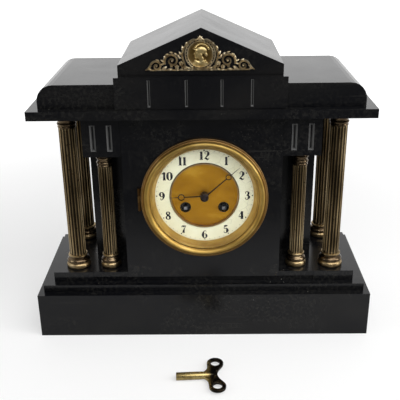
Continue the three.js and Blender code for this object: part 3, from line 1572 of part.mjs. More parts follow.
// Pierced mount: rail, medallion with a helmeted head, scrolls, small flowers, pendant and crest
function makePedimentMount() {
  const base = friezeTop + mountBaseRise;
  const centre = base + medallionRise;
  const railHalf = mountHalfWidth - mountRailInset;
  const rimInner = circlePoints([0, centre], medallionRadius - medallionRimWidth, mediumSides);
  const pieces = [
    mountPlate([
      [-mountHalfWidth, base], [mountHalfWidth, base], [railHalf, base + mountRailHeight],
      [-railHalf, base + mountRailHeight],
    ], mountThickness),
    mountPlate(circlePoints([0, centre], medallionRadius, mediumSides), mountThickness),
    mountPlate(circlePoints([0, centre], medallionRadius, mediumSides), mountRelief, rimInner),
    mountBoss(headSemiAxes, centre),
    mountBoss(helmetSemiAxes, centre + helmetRise),
    mountPlate([
      [-pendantWidth / 2, base], [pendantWidth / 2, base], [pendantTopWidth / 2, base + pendantHeight],
      [-pendantTopWidth / 2, base + pendantHeight],
    ], mountRelief),
    mountPlate([
      [-crestWidth / 2, base + crestBaseRise], [crestWidth / 2, base + crestBaseRise],
      [0, base + crestBaseRise + crestHeight],
    ], mountRelief),
  ];
  for (const sign of [-1, 1]) {
    for (const curve of [innerScroll, outerScroll, leafScroll, frameScroll]) {
      pieces.push(scroll(curve, sign, base));
    }
    for (const [x, rise] of flowerPlaces) {
      pieces.push(mountPlate(circlePoints([sign * x, base + rise], flowerRadius, arborSides), mountRelief));
    }
  }
  const behind = block(
    -mountHalfWidth, mountHalfWidth, -pedimentFront - seatGap, caseBack, base,
    friezeTop + eavesHeight + pedimentRise,
  );
  addPiece('pediment_mount', cut(join(...pieces), behind), gilt).position.x = mountX;
}

// Key lying flat: barrel with a square socket along X, tapering into a flat bow with two rings
function makeKey() {
  const group = new THREE.Group();
  group.position.set(keyX, -keyY, keyBarrelRadius);
  group.rotation.z = THREE.MathUtils.degToRad(keyTurn);
  clock.add(group);
  const profile = [
    [0, -keyLength], [keyBarrelRadius, -keyLength], [keyBarrelRadius, -keyTaperStart],
    [keyTaperRadius, -keyTaperEnd], [0, -keyTaperEnd],
  ];
  const points = profile.map(([radius, along]) => new THREE.Vector2(radius, along));
  const barrel = toSolid(new THREE.LatheGeometry(points, mediumSides).rotateZ(-Math.PI / 2));
  const flat = (outline, halfThickness) => {
    const options = { depth: 2 * halfThickness, bevelEnabled: false };
    return toSolid(new THREE.ExtrudeGeometry(polygon(outline), options).translate(0, 0, -halfThickness));
  };
  const halfBow = keyBowThickness / 2;
  const upper = keyBowShares.map(([x, y]) => [x * keyRingSpan, y * keyRingSpan]);
  const lower = upper.slice(0, -1).map(([x, y]) => [x, -y]).reverse();
  const rings = [-1, 1].map((sign) => flat(
    circlePoints([0, sign * keyRingSpan], keyRingRadius, mediumSides), halfBow,
  ));
  const holes = [-1, 1].map((sign) => flat(
    circlePoints([0, sign * keyRingSpan], keyRingHoleRadius, mediumSides), halfBow + overrun,
  ));
  const socketHalf = keySocketSize / 2;
  const socket = block(
    -keyLength - overrun, keySocketDepth - keyLength, -socketHalf, socketHalf, -socketHalf, socketHalf,
  );
  const key = cut(join(barrel, flat([...upper, ...lower], halfBow), ...rings), socket, ...holes);
  addPiece('winding_key', key, keyIron, group);
}

makePlinth();
makeSteps();
makeCentreStep();
makeFrontPanel();
makeBodyWalls();
makeBackPanel();
makeFriezeBlocks();
makeCornice();
makeUpperBlock();
makeCentreFrieze();
makePediment();
makeColumns();
makePedimentMount();
makeDialPan();
makeDialRing();
makeBezel();
makeBezelGlass();
makeHands();
makeHandNut();
makeFrontPlate();
makeBackPlate();
makeGoingTrain();
makeCentreWheel();
makeEscapeWheel();
makeAnchor();
makeStrikeTrain();
makeHammer();
makeMotionWork();
makeSuspensionCock();
makePendulumRod();
makePendulumBob();
makeRegulatorArbor();
makeBell();
makeBellStand();
makeRearRing();
makeBackDoor();
makeKey();

export default clock;
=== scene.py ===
from math import asin, atan2, cos, degrees, hypot, pi, radians, sin, sqrt

import bmesh
import bpy
from mathutils import Matrix, Vector


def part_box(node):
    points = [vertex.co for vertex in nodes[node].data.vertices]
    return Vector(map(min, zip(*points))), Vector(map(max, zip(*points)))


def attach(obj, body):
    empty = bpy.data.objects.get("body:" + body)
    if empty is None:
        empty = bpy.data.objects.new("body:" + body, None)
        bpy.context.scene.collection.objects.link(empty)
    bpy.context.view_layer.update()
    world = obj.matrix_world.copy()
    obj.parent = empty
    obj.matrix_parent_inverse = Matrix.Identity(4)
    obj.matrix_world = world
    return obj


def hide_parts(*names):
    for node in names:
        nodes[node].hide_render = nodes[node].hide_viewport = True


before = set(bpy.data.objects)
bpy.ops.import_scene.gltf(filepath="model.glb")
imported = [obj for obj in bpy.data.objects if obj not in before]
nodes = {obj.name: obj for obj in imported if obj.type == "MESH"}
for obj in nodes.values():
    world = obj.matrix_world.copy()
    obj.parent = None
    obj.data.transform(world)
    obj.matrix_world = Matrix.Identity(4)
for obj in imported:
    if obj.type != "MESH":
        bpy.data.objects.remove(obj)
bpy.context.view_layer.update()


# Slate case. The real case is cut from slabs of black slate, rubbed and polished on the faces that show and
# cemented together round an iron tie. Its arrises are a little chipped, and greyer than the faces.
SLATE_NODES = [
    "plinth", "lower_step", "pedestal_left", "pedestal_right", "centre_step", "front_panel", "return_left",
    "return_right", "wing_left", "wing_right", "side_wall_left", "side_wall_right", "back_panel",
    "frieze_block_left", "frieze_block_right", "cornice_slab", "upper_block", "centre_frieze", "pediment",
]
ARRIS_WIDTH = 0.0006
CHANNEL_DEPTH = 0.0025
GROOVE_DEPTH = 0.0018


def feed(made, inputs):
    """Give a node's inputs their constants, or the outputs of other nodes."""
    for socket, value in inputs.items():
        if isinstance(value, bpy.types.NodeSocket):
            made.id_data.links.new(value, made.inputs[socket])
        else:
            made.inputs[socket].default_value = value


def node(material, kind, inputs=None, **settings):
    made = material.node_tree.nodes.new(kind)
    for key, value in settings.items():
        setattr(made, key, value)
    feed(made, inputs or {})
    return made


def feed_shader(material, inputs):
    feed(material.node_tree.nodes["Principled BSDF"], inputs)


def finish(name, colour, roughness, metallic=0.0):
    material = bpy.data.materials.new(name)
    material.use_nodes = True
    feed_shader(material, {"Base Color": (*colour, 1), "Roughness": roughness, "Metallic": metallic})
    return material


def place_on(material):
    """The piece's own coordinates, in metres."""
    return node(material, "ShaderNodeTexCoord").outputs["Object"]


def grain(material, scale, detail=4.0, stretch=(1, 1, 1), warp=0.0, offset=(0, 0, 0)):
    """Noise of so many spots to the metre."""
    mapping = node(material, "ShaderNodeMapping", {"Vector": place_on(material), "Scale": stretch, "Location": offset})
    return node(material, "ShaderNodeTexNoise", {
        "Vector": mapping.outputs["Vector"], "Scale": scale, "Detail": detail, "Distortion": warp,
    }).outputs["Fac"]


def shades(material, value, stops):
    """Colour for each value, from pairs of place and colour or grey."""
    ramp = node(material, "ShaderNodeValToRGB", {"Fac": value})
    ramp.color_ramp.elements.remove(ramp.color_ramp.elements[1])
    for i, (place, colour) in enumerate(stops):
        element = ramp.color_ramp.elements[0] if i == 0 else ramp.color_ramp.elements.new(place)
        element.position = place
        rgb = colour if isinstance(colour, tuple) else (colour, colour, colour)
        element.color = (*rgb, 1)
    return ramp.outputs["Color"]


def blended(material, share, below, above, way="MIX"):
    colours = [(*colour, 1) if isinstance(colour, tuple) else colour for colour in (below, above)]
    return node(material, "ShaderNodeMix", {0: share, 6: colours[0], 7: colours[1]}, data_type="RGBA",
                blend_type=way).outputs[2]


def times(material, first, second):
    return blended(material, 1.0, first, second, "MULTIPLY")


def along_axis(material, output, axis):
    return node(material, "ShaderNodeSeparateXYZ", {0: output}).outputs[axis]


def share_between(material, value, start, end):
    """Share from 0 to 1 while the value goes from start to end."""
    return node(material, "ShaderNodeMapRange", {
        "Value": value, "From Min": start, "From Max": end,
    }).outputs["Result"]


def share_along(material, axis, start, end):
    """Share from 0 to 1 along an axis of the piece's own coordinates."""
    return share_between(material, along_axis(material, place_on(material), axis), start, end)


def colour_by(material, colour):
    feed_shader(material, {"Base Color": colour})


def dull_by(material, pattern, smoothest, roughest):
    """Roughness between two limits, as the pattern goes."""
    feed_shader(material, {"Roughness": shades(material, pattern, [(0.3, smoothest), (0.7, roughest)])})


def relief(material, height, strength, depth):
    bump = node(material, "ShaderNodeBump", {"Height": height, "Strength": strength, "Distance": depth})
    feed_shader(material, {"Normal": bump.outputs["Normal"]})


def flecks(material, scale, size, share):
    """Scattered spots, so wide in shares of their spacing: the light grains and pits of the stone."""
    cells = node(material, "ShaderNodeTexVoronoi", {"Vector": place_on(material), "Scale": scale})
    spot = shades(material, cells.outputs["Distance"], [(size * 0.6, 1.0), (size, 0.0)])
    chosen = shades(material, cells.outputs["Color"], [(0.98 - share, 0.0), (1 - share, 1.0)])
    return times(material, spot, chosen)


def within_cuts(material, front, depth):
    """Share that is 1 on the sloping sides of channels cut into a front face, which are painted lighter grey as cut
    stone, and that falls off to their bottoms as painted shade.
    """
    cut = shades(material, share_along(material, "Y", front, front + 1.1 * depth), [
        (0.03, 0.0), (0.1, 1.0), (0.45, 0.75), (0.8, 0.1), (0.95, 0.0),
    ])
    facing = node(material, "ShaderNodeTexCoord").outputs["Normal"]
    for axis in ("X", "Z"):
        size = node(material, "ShaderNodeMath", {0: along_axis(material, facing, axis)}, operation="ABSOLUTE")
        cut = times(material, cut, shades(material, size.outputs[0], [(0.88, 1.0), (0.92, 0.0)]))
    return cut


def slate_finish(name, front=None, depth=0.0):
    material = finish(name, (0.008, 0.008, 0.009), 0.24)
    cloud = shades(material, grain(material, 11, 7, (0.5, 1, 1.6), 0.5), [
        (0.32, (0.0012, 0.0014, 0.0028)), (0.52, (0.0032, 0.0033, 0.0042)), (0.72, (0.0095, 0.009, 0.0087)),
    ])
    patches = grain(material, 8, 4, warp=0.3, offset=(0.4, 0, 0.2))
    worn_patches = shades(material, patches, [(0.5, 0.0), (0.64, 1.0)])
    rubs = shades(material, grain(material, 240, 2, (0.05, 1, 1.3), 0.2), [(0.62, 0.0), (0.72, 1.0)])
    haze = shades(material, grain(material, 300, 8), [(0.44, 0.0), (0.66, 1.0)])
    touches = grain(material, 15, 5, (1, 1, 1.4), 0.6, (0.1, 0.3, 0))
    handled = shades(material, touches, [(0.44, 0.12), (0.62, 1.0)])
    colour = cloud
    for share, shade in (
        (times(material, rubs, worn_patches), (0.016, 0.0155, 0.0145)),
        (times(material, flecks(material, 380, 0.2, 0.4), worn_patches), (0.036, 0.033, 0.028)),
        (times(material, haze, handled), (0.0142, 0.0138, 0.0128)),
        (flecks(material, 130, 0.085, 0.3), (0.22, 0.21, 0.185)),
    ):
        colour = blended(material, share, colour, shade)
    if front is not None:
        # Channel sides are painted grey as cut stone, and the colour darkens to their bottoms as painted shade.
        colour = blended(material, within_cuts(material, front, depth), colour, (0.1, 0.1, 0.098))
    colour_by(material, colour)
    dull_by(material, grain(material, 26, 5), 0.17, 0.23)
    relief(material, grain(material, 900, 3), 0.04, 0.0001)
    feed_shader(material, {"Specular IOR Level": 0.34})
    return material


def dress(name, *materials):
    """Give a piece of the frame these materials in place of what it came with."""
    slots = nodes[name].data.materials
    slots.clear()
    for material in materials:
        slots.append(material)


slate = slate_finish("polished_slate")
block_slate = slate_finish("channelled_slate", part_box("frieze_block_left")[0].y, CHANNEL_DEPTH)
frieze_slate = slate_finish("grooved_slate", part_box("centre_frieze")[0].y, GROOVE_DEPTH)

worn_slate = finish("slate_arris", (0.05, 0.05, 0.05), 0.5)
colour_by(worn_slate, shades(worn_slate, grain(worn_slate, 160, 5), [
    (0.34, (0.024, 0.024, 0.024)), (0.5, (0.12, 0.116, 0.108)), (0.66, (0.42, 0.4, 0.37)),
]))
relief(worn_slate, grain(worn_slate, 500, 4), 0.5, 0.0004)

sawn_slate = finish("sawn_slate", (0.03, 0.03, 0.031), 0.62)
sawn_marks = grain(sawn_slate, 420, 3, (0.04, 1, 1), 0.2)
sawn_ground = shades(sawn_slate, grain(sawn_slate, 16, 6, warp=0.4), [
    (0.3, (0.018, 0.018, 0.02)), (0.52, (0.032, 0.032, 0.033)), (0.74, (0.055, 0.053, 0.05)),
])
colour_by(sawn_slate, blended(sawn_slate, flecks(sawn_slate, 220, 0.12, 0.3), sawn_ground, (0.16, 0.155, 0.145)))
dull_by(sawn_slate, sawn_marks, 0.5, 0.75)
relief(sawn_slate, sawn_marks, 0.35, 0.0003)

finish_of = {
    "frieze_block_left": block_slate, "frieze_block_right": block_slate, "centre_frieze": frieze_slate,
    "back_panel": sawn_slate,
}
for name in SLATE_NODES:
    dress(name, finish_of.get(name, slate), worn_slate)
    arris = nodes[name].modifiers.new("arris", "BEVEL")
    arris.width = ARRIS_WIDTH
    arris.segments = 2
    arris.limit_method = "ANGLE"
    arris.angle_limit = radians(25)
    arris.material = 1


# Columns. The six columns are cast and turned bronze, fluted, with a brown patina rubbed golden on the torus of the
# base and on the rings, and near black in the hollows of the flutes, partly patina and partly painted shade; each is
# drawn down on a rod between the step and the block above it.
COLUMN_NODES = [
    "column_front_outer_left", "column_front_outer_right", "column_front_inner_left", "column_front_inner_right",
    "column_rear_left", "column_rear_right",
]
BASE_PROFILE = [
    (0.88, 0.0), (0.96, 0.03), (1.0, 0.1), (1.0, 0.2), (0.97, 0.29), (0.91, 0.36), (0.865, 0.385), (0.86, 0.4),
    (0.9, 0.42), (0.94, 0.47), (0.94, 0.54), (0.9, 0.62), (0.82, 0.68), (0.74, 0.72), (0.69, 0.76), (0.68, 0.81),
    (0.7, 0.845), (0.79, 0.87), (0.81, 0.91), (0.79, 0.96), (0.72, 1.0),
]
CAPITAL_PROFILE = [
    (0.88, 0.0), (0.92, 0.02), (0.93, 0.06), (0.9, 0.1), (0.87, 0.13), (0.87, 0.17), (0.94, 0.2), (0.975, 0.24),
    (0.97, 0.3), (0.92, 0.34), (0.87, 0.38), (0.87, 0.46), (0.91, 0.53), (0.98, 0.58), (1.0, 0.63), (1.0, 0.68),
    (0.95, 0.72), (0.93, 0.75), (0.93, 0.8), (0.98, 0.85), (1.0, 0.91), (1.0, 0.97), (0.96, 1.0),
]
BASE_HEIGHT = 0.016
CAPITAL_HEIGHT = 0.0155
TORUS_SHARE = 0.4
LIP_SHARE = 0.85
FLUTES = 16
FLUTE_POINTS = 10
FLUTE_DEPTH = 0.0011
# How the flutes run out: distance from the shaft's end, and share of the full depth there.
FLUTE_END = [(0.0, 0.0), (0.0012, 0.0), (0.002, 0.7), (0.0032, 1.0)]
SHAFT_LAP = 0.0002
OUTER_SHARES = (0.677, 0.775)
INNER_SHARES = (0.65, 0.765)
LAND_SHARE = 0.26


def round_points(sides, radius, x=0.0, y=0.0, turn=0.0):
    """Places evenly spaced on a circle."""
    angles = [2 * pi * k / sides + radians(turn) for k in range(sides)]
    return [(x + radius * cos(angle), y + radius * sin(angle)) for angle in angles]


def add_skin(mesh, rings):
    """Faces from each ring of corners to the next."""
    faces = []
    for near, far in zip(rings, rings[1:]):
        for i in range(len(near)):
            j = (i + 1) % len(near)
            faces.append(mesh.faces.new((near[i], near[j], far[j], far[i])))
    return faces


def add_solid(mesh, rings):
    """Skin over rings of corners, with flat ends."""
    add_skin(mesh, rings)
    mesh.faces.new(rings[0])
    mesh.faces.new(rings[-1])


def put_in_scene(name, data):
    made = bpy.data.objects.new(name, data)
    bpy.context.scene.collection.objects.link(made)
    return made


def as_piece(name, mesh, smooth=35):
    bmesh.ops.recalc_face_normals(mesh, faces=mesh.faces)
    data = bpy.data.meshes.new(name)
    mesh.to_mesh(data)
    mesh.free()
    piece = put_in_scene(name, data)
    data.shade_smooth()
    data.set_sharp_from_angle(angle=radians(smooth))
    return piece


def revolved(name, profile, sides, centre, axis="Z", closed=False):
    """Turned piece from pairs of radius and place along the axis, drawn from one end to the other."""
    mesh = bmesh.new()
    rings = []
    for radius, along in profile:
        corners = [(x, y, along) if axis == "Z" else (x, along, y) for x, y in round_points(sides, radius)]
        rings.append([mesh.verts.new(Vector(centre) + Vector(corner)) for corner in corners])
    if closed:
        add_skin(mesh, [*rings, rings[0]])
    else:
        add_solid(mesh, rings)
    bmesh.ops.remove_doubles(mesh, verts=mesh.verts, dist=1e-7)
    return as_piece(name, mesh)


def fluted_shaft(name, radius, bottom, top, centre):
    """Round shaft with hollow flutes between narrow lands; the hollows close at both ends."""
    step = 2 * pi / FLUTES
    land = LAND_SHARE * step
    levels = [(bottom + gap, depth) for gap, depth in FLUTE_END]
    levels += [(top - gap, depth) for gap, depth in FLUTE_END[::-1]]
    mesh = bmesh.new()
    rings = []
    for height, depth in levels:
        ring = []
        for i in range(FLUTES):
            for k in range(FLUTE_POINTS):
                share = k / (FLUTE_POINTS - 1)
                hollow = FLUTE_DEPTH * depth * sin(pi * share) ** 0.7
                angle = i * step + land / 2 + share * (step - land)
                at = (radius - hollow) * Vector((cos(angle), sin(angle), 0))
                ring.append(mesh.verts.new(Vector(centre) + at + Vector((0, 0, height))))
        rings.append(ring)
    # Faces in the hollows take the second material: near-black patina with painted shade in the hollows.
    for i, face in enumerate(add_skin(mesh, rings)):
        face.material_index = 0 if i % FLUTE_POINTS in (0, FLUTE_POINTS - 2, FLUTE_POINTS - 1) else 1
    mesh.faces.new(rings[0])
    mesh.faces.new(rings[-1])
    return as_piece(name, mesh, 28)


def join_pieces(name, parts):
    with bpy.context.temp_override(active_object=parts[0], selected_editable_objects=parts):
        bpy.ops.object.join()
    parts[0].name = name
    parts[0].data.name = name
    return parts[0]


def bronze_finish(name, dark, middle, light, smoothest):
    material = finish(name, middle, smoothest, 1.0)
    colour_by(material, shades(material, grain(material, 60, 6, (1, 1, 0.25), 0.5), [
        (0.3, dark), (0.5, middle), (0.72, light),
    ]))
    dull_by(material, grain(material, 300, 4), smoothest, smoothest + 0.18)
    relief(material, grain(material, 1500, 3), 0.06, 0.0002)
    return material


bronze = bronze_finish("patinated_bronze", (0.14, 0.098, 0.048), (0.38, 0.275, 0.14), (0.64, 0.5, 0.29), 0.25)
brown_bronze = bronze_finish("brown_patina", (0.04, 0.028, 0.016), (0.13, 0.09, 0.052), (0.32, 0.24, 0.14), 0.15)
# Near black for the flute hollows: patina, and painted shade in them.
hollow_bronze_and_painted_shade = bronze_finish("hollow_patina_and_painted_shade", (0.016, 0.013, 0.008), (0.04, 0.03, 0.018), (0.09, 0.068, 0.04), 0.4)

for name in COLUMN_NODES:
    low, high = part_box(name)
    centre = Vector(((low.x + high.x) / 2, (low.y + high.y) / 2, 0))
    radius = (high.x - low.x) / 2
    shaft_radius, capital_radius = [share * radius for share in (INNER_SHARES if "inner" in name else OUTER_SHARES)]
    base = [(r * radius, low.z + z * BASE_HEIGHT) for r, z in BASE_PROFILE]
    capital_base = high.z - CAPITAL_HEIGHT
    capital = [(r * capital_radius, capital_base + z * CAPITAL_HEIGHT) for r, z in CAPITAL_PROFILE]
    sections = [
        revolved("base", base, 64, centre),
        fluted_shaft("shaft", shaft_radius, low.z + BASE_HEIGHT - SHAFT_LAP, capital_base + SHAFT_LAP, centre),
        revolved("capital", capital, 64, centre),
    ]
    for section in sections:
        for material in (bronze, hollow_bronze_and_painted_shade, brown_bronze):
            section.data.materials.append(material)
    for face in sections[0].data.polygons:
        share = (face.center.z - low.z) / BASE_HEIGHT
        face.material_index = 2 if TORUS_SHARE < share < LIP_SHARE else 0
    for face in sections[2].data.polygons:
        face.material_index = 2
    column = join_pieces(f"{name}_turned", sections)
    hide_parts(name)
    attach(column, "case")


# Mount on the pediment. It is a pierced casting in gilt brass: a medallion with a helmeted head in relief, in a
# frame of scrolls with small flowers and leaves. It is pinned to the slate. Its colour darkens towards the back of the
# casting, near the slate, as painted shade in its hollows.
low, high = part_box("pediment_mount")
MOUNT_X = (low.x + high.x) / 2
MOUNT_BASE = low.z
MOUNT_BACK = high.y
MM = 0.001
# Cross-sections of the strips: place over half their width, and share of their height.
GROOVED = [(-1.0, 0.0), (-0.85, 0.7), (-0.5, 1.0), (0.0, 0.5), (0.5, 1.0), (0.85, 0.7), (1.0, 0.0)]
VEINED = [(-1.0, 0.0), (-0.8, 0.6), (-0.25, 0.6), (0.0, 1.0), (0.25, 0.6), (0.8, 0.6), (1.0, 0.0)]
# Share of a leaf's length, and of its width and height there.
LEAF_SHAPE = [(0.0, 0.4, 0.6), (0.25, 0.9, 0.95), (0.5, 1.0, 1.0), (0.8, 0.6, 0.75), (1.0, 0.08, 0.35)]
# From here in millimetres, across from the mount's middle and up from its foot.
MEDALLION = (0.4, 16.6)
GROUND_RADIUS = 12.4
GROUND_RINGS = 40
RIMS = [(12.8, 1.2, 3.0), (14.9, 1.4, 2.8)]
RIM_BEADS = 30
BEAD_CIRCLE = 13.9
# Rounded masses of the head, which looks left: place across and up from the medallion's middle, half width and half
# height, turn in degrees, and how high each stands. A higher power merges them more sharply.
MERGE = 7
HEAD_MASSES = [
    (-1.4, 0.4, 4.0, 5.0, 0, 2.3), (-3.5, 2.6, 1.8, 1.9, 0, 1.9), (-5.5, 0.7, 1.5, 0.85, 50, 1.5),
    (-4.9, -1.2, 0.95, 0.55, 0, 1.5), (-4.8, -2.1, 0.85, 0.5, 0, 1.4), (-4.2, -3.5, 1.35, 1.05, 0, 1.7),
    (-2.0, -2.3, 3.3, 1.9, -24, 2.1), (0.9, -5.0, 2.5, 3.9, 8, 1.8), (0.2, -9.4, 8.0, 3.0, 0, 1.7),
    (-3.0, -8.0, 3.2, 1.5, -35, 2.1), (0.5, -0.6, 1.6, 2.6, 8, 2.9), (1.3, 3.8, 5.6, 3.9, -8, 3.0),
    (-4.4, 4.5, 3.3, 0.9, -24, 2.7), (5.4, 0.2, 1.6, 3.0, 28, 2.2), (-3.5, 1.3, 0.75, 0.4, 0, 2.55),
    (3.6, -7.4, 2.6, 1.3, 30, 2.2),
]
# Crest of the helmet: middle of its arc, radius, half width, first and last angle, height.
CREST_ARC = (1.6, 2.6, 7.4, 1.2, 15, 150, 2.9)
# Points of the strips: across, up, wide and high.
TAIL = [(54.9, 0.9, 0.6, 1.6), (52.0, 2.4, 2.2, 2.6), (49.2, 5.8, 2.8, 3.0)]
FRAME_LINE = [
    (19.4, 5.6, 1.2, 2.4), (17.6, 3.6, 2.0, 3.0), (15.4, 6.2, 2.3, 3.4), (17.0, 11.6, 2.5, 3.6),
    (17.7, 17.4, 2.7, 3.7), (15.7, 23.2, 2.7, 3.7), (11.6, 27.8, 2.6, 3.7), (7.0, 30.8, 2.4, 3.6),
    (3.6, 30.0, 2.0, 3.4), (4.4, 27.9, 1.6, 3.2), (6.6, 28.6, 1.2, 3.0),
]
SWAG = [(-9.6, 4.6, 1.4, 2.6), (-5.0, 2.6, 2.0, 3.2), (0.4, 1.9, 2.2, 3.4), (5.8, 2.6, 2.0, 3.2), (10.4, 4.6, 1.4, 2.6)]
# Scrolls: place of the eye, outer and inner radius, angles at both ends, radius and height of the bead in the eye.
SCROLL_STEPS = 40
SCROLLS = [(27.8, 10.2, 8.0, 1.3, -25, 520, 1.3, 3.0), (43.4, 4.9, 6.0, 1.0, 15, 500, 1.1, 2.8)]
# Leaves: place of the stalk, angle, length, width and height.
LEAVES = [
    (18.4, 15.4, 62, 5.0, 2.6, 3.2), (17.6, 20.4, 98, 4.6, 2.4, 3.2), (14.4, 25.6, 128, 4.0, 2.2, 3.0),
    (18.2, 12.4, 28, 4.4, 2.4, 3.0), (35.6, 10.6, 100, 5.0, 2.6, 3.2), (35.2, 9.4, 22, 4.6, 2.6, 3.0),
    (35.6, 7.6, -20, 4.4, 2.4, 3.0), (33.0, 4.4, -24, 5.6, 3.0, 3.0), (27.4, 2.0, -8, 6.4, 3.0, 3.0),
    (20.4, 12.2, 74, 4.6, 2.4, 2.8), (22.4, 15.6, 40, 4.2, 2.2, 2.8), (26.4, 18.0, 14, 4.2, 2.0, 2.8),
    (48.6, 1.6, 8, 5.0, 2.4, 2.6), (38.6, 1.6, 172, 5.4, 2.6, 2.8), (8.6, 2.2, 16, 5.4, 2.4, 3.0),
    (4.2, 1.7, 8, 5.2, 2.2, 2.8), (9.4, 1.0, -4, 5.0, 2.0, 2.6), (40.6, 10.2, 22, 4.0, 2.0, 2.8),
    (45.0, 10.2, -26, 4.2, 2.0, 2.8), (24.6, 1.0, 184, 4.6, 2.0, 2.6), (12.4, 9.0, 214, 3.4, 2.0, 3.2),
    (31.2, 17.2, -24, 4.4, 2.2, 2.9), (43.4, 1.3, 176, 5.0, 2.2, 2.6), (20.6, 1.2, 170, 4.6, 2.0, 2.8),
]
CROWN = (0.4, 30.7)
CROWN_LEAVES = [(90, 4.4), (58, 4.0), (122, 4.0), (24, 3.4), (156, 3.4)]
# Flowers of five petals: place and size.
FLOWERS = [(18.6, 7.6, 1.0), (23.0, 4.0, 0.9), (14.4, 3.4, 0.85), (28.6, 4.8, 0.6)]


def mount_point(x, z, rise):
    return MOUNT_X + x * MM, MOUNT_BACK - rise * MM, MOUNT_BASE + z * MM


def half_across(points, i):
    """Half the width of a line at one of its points across, up and wide, square to its run there."""
    x0, z0 = points[max(i - 1, 0)][:2]
    x1, z1 = points[min(i + 1, len(points) - 1)][:2]
    return Vector((z0 - z1, x1 - x0)).normalized() * points[i][2] / 2


def add_strip(mesh, points, section):
    """Raised strip along points across, up, wide and high, with the given cross-section on a flat back."""
    rings = []
    for i, (x, z, _, height) in enumerate(points):
        out = half_across(points, i)
        rings.append([
            mesh.verts.new(mount_point(x + side * out.x, z + side * out.y, up * height)) for side, up in section
        ])
    add_solid(mesh, rings)


def add_leaf(mesh, x, z, angle, length, width, height):
    way = radians(angle)
    add_strip(mesh, [
        (x + share * length * cos(way), z + share * length * sin(way), wide * width, up * height)
        for share, wide, up in LEAF_SHAPE
    ], VEINED)


def add_bead(mesh, x, z, radius, height):
    rings = []
    for tilt in (0, 25, 50, 75):
        size, up = radius * cos(radians(tilt)), height * sin(radians(tilt))
        rings.append([mesh.verts.new(mount_point(*place, up)) for place in round_points(12, size, x, z)])
    add_solid(mesh, rings)


def smoothed(points, steps):
    """Points of a curve through the given ones."""
    if len(points) == 2:
        return points
    curve = []
    for i in range(len(points) - 1):
        before, start, end = points[max(i - 1, 0)], points[i], points[i + 1]
        after = points[min(i + 2, len(points) - 1)]
        for k in range(steps):
            t = k / steps
            curve.append(tuple(
                0.5 * (2 * b + (c - a) * t + (2 * a - 5 * b + 4 * c - d) * t ** 2
                       + (3 * b - a - 3 * c + d) * t ** 3)
                for a, b, c, d in zip(before, start, end, after)
            ))
    curve.append(points[-1])
    return curve


def scroll(x, z, outer, inner, start, end, side):
    """Points of a spiral from its wide and high outer end to the eye, mirrored where side is -1."""
    points = []
    for i in range(SCROLL_STEPS + 1):
        share = i / SCROLL_STEPS
        angle = radians(start + (end - start) * share)
        radius = outer + (inner - outer) * share ** 0.8
        points.append((
            side * (x + radius * cos(angle)), z + radius * sin(angle), 2.3 - 0.9 * share,
            3.2 - 0.8 * share,
        ))
    return points


def head_rise(x, z):
    """How high the medallion stands at a place: a dished ground with the rounded masses merged on it."""
    ground = 0.5 + 0.5 * (hypot(x, z) / GROUND_RADIUS) ** 2
    total = ground ** MERGE
    for across, up, half_width, half_height, turn, height in HEAD_MASSES:
        cosine, sine = cos(radians(turn)), sin(radians(turn))
        a = ((x - across) * cosine + (z - up) * sine) / half_width
        b = ((z - up) * cosine - (x - across) * sine) / half_height
        if a * a + b * b < 1:
            total += (ground + (height - ground) * sqrt(1 - a * a - b * b)) ** MERGE
    across, up, radius, half_width, first, last, height = CREST_ARC
    out = (hypot(x - across, z - up) - radius) / half_width
    angle = degrees(atan2(z - up, x - across))
    if abs(out) < 1 and first < angle < last:
        plumes = 0.85 + 0.15 * cos(radians(angle * 24))
        total += (ground + (height * plumes - ground) * sqrt(1 - out * out)) ** MERGE
    return total ** (1 / MERGE)


mount_mesh = bmesh.new()
rings = [
    [mount_mesh.verts.new(mount_point(MEDALLION[0] + x, MEDALLION[1] + z, head_rise(x, z)))
     for x, z in round_points(96, GROUND_RADIUS * i / GROUND_RINGS)]
    for i in range(1, GROUND_RINGS + 1)
]
foot = [mount_mesh.verts.new(mount_point(*place, 0)) for place in round_points(96, GROUND_RADIUS, *MEDALLION)]
add_solid(mount_mesh, [*rings, foot])
for radius, width, height in RIMS:
    circle = round_points(80, radius, *MEDALLION)
    add_strip(mount_mesh, [(*place, width, height) for place in [*circle, circle[0]]], VEINED)
for place in round_points(RIM_BEADS, BEAD_CIRCLE, *MEDALLION):
    add_bead(mount_mesh, *place, 0.62, 2.5)

for side in (-1, 1):
    for x, z, outer, inner, start, end, eye_radius, eye_height in SCROLLS:
        add_strip(mount_mesh, scroll(x, z, outer, inner, start, end, side), GROOVED)
        add_bead(mount_mesh, side * x, z, eye_radius, eye_height)
    add_strip(mount_mesh, [(side * x, z, wide, up) for x, z, wide, up in smoothed(TAIL, 5)], GROOVED)
    add_strip(mount_mesh, [
        (side * x + 0.3, z, 0.8 * wide, up) for x, z, wide, up in smoothed(FRAME_LINE, 6)
    ], GROOVED)
    for x, z, angle, length, width, height in LEAVES:
        add_leaf(mount_mesh, side * x, z, angle if side > 0 else 180 - angle, length, width, height)
    for x, z, size in FLOWERS:
        for petal in round_points(5, 1.6 * size, side * x, z, 18):
            add_bead(mount_mesh, *petal, 1.15 * size, 2.6)
        add_bead(mount_mesh, side * x, z, 0.8 * size, 3.4)
add_strip(mount_mesh, [(x, 0.8, 1.6, 1.8) for x in range(-50, 51, 2)], VEINED)
add_strip(mount_mesh, smoothed(SWAG, 5), GROOVED)
for angle, length in CROWN_LEAVES:
    add_leaf(mount_mesh, *CROWN, angle, length, 1.9, 3.2)
add_bead(mount_mesh, CROWN[0], CROWN[1] + 0.2, 1.3, 3.8)
mount = as_piece("mount_casting", mount_mesh, 50)

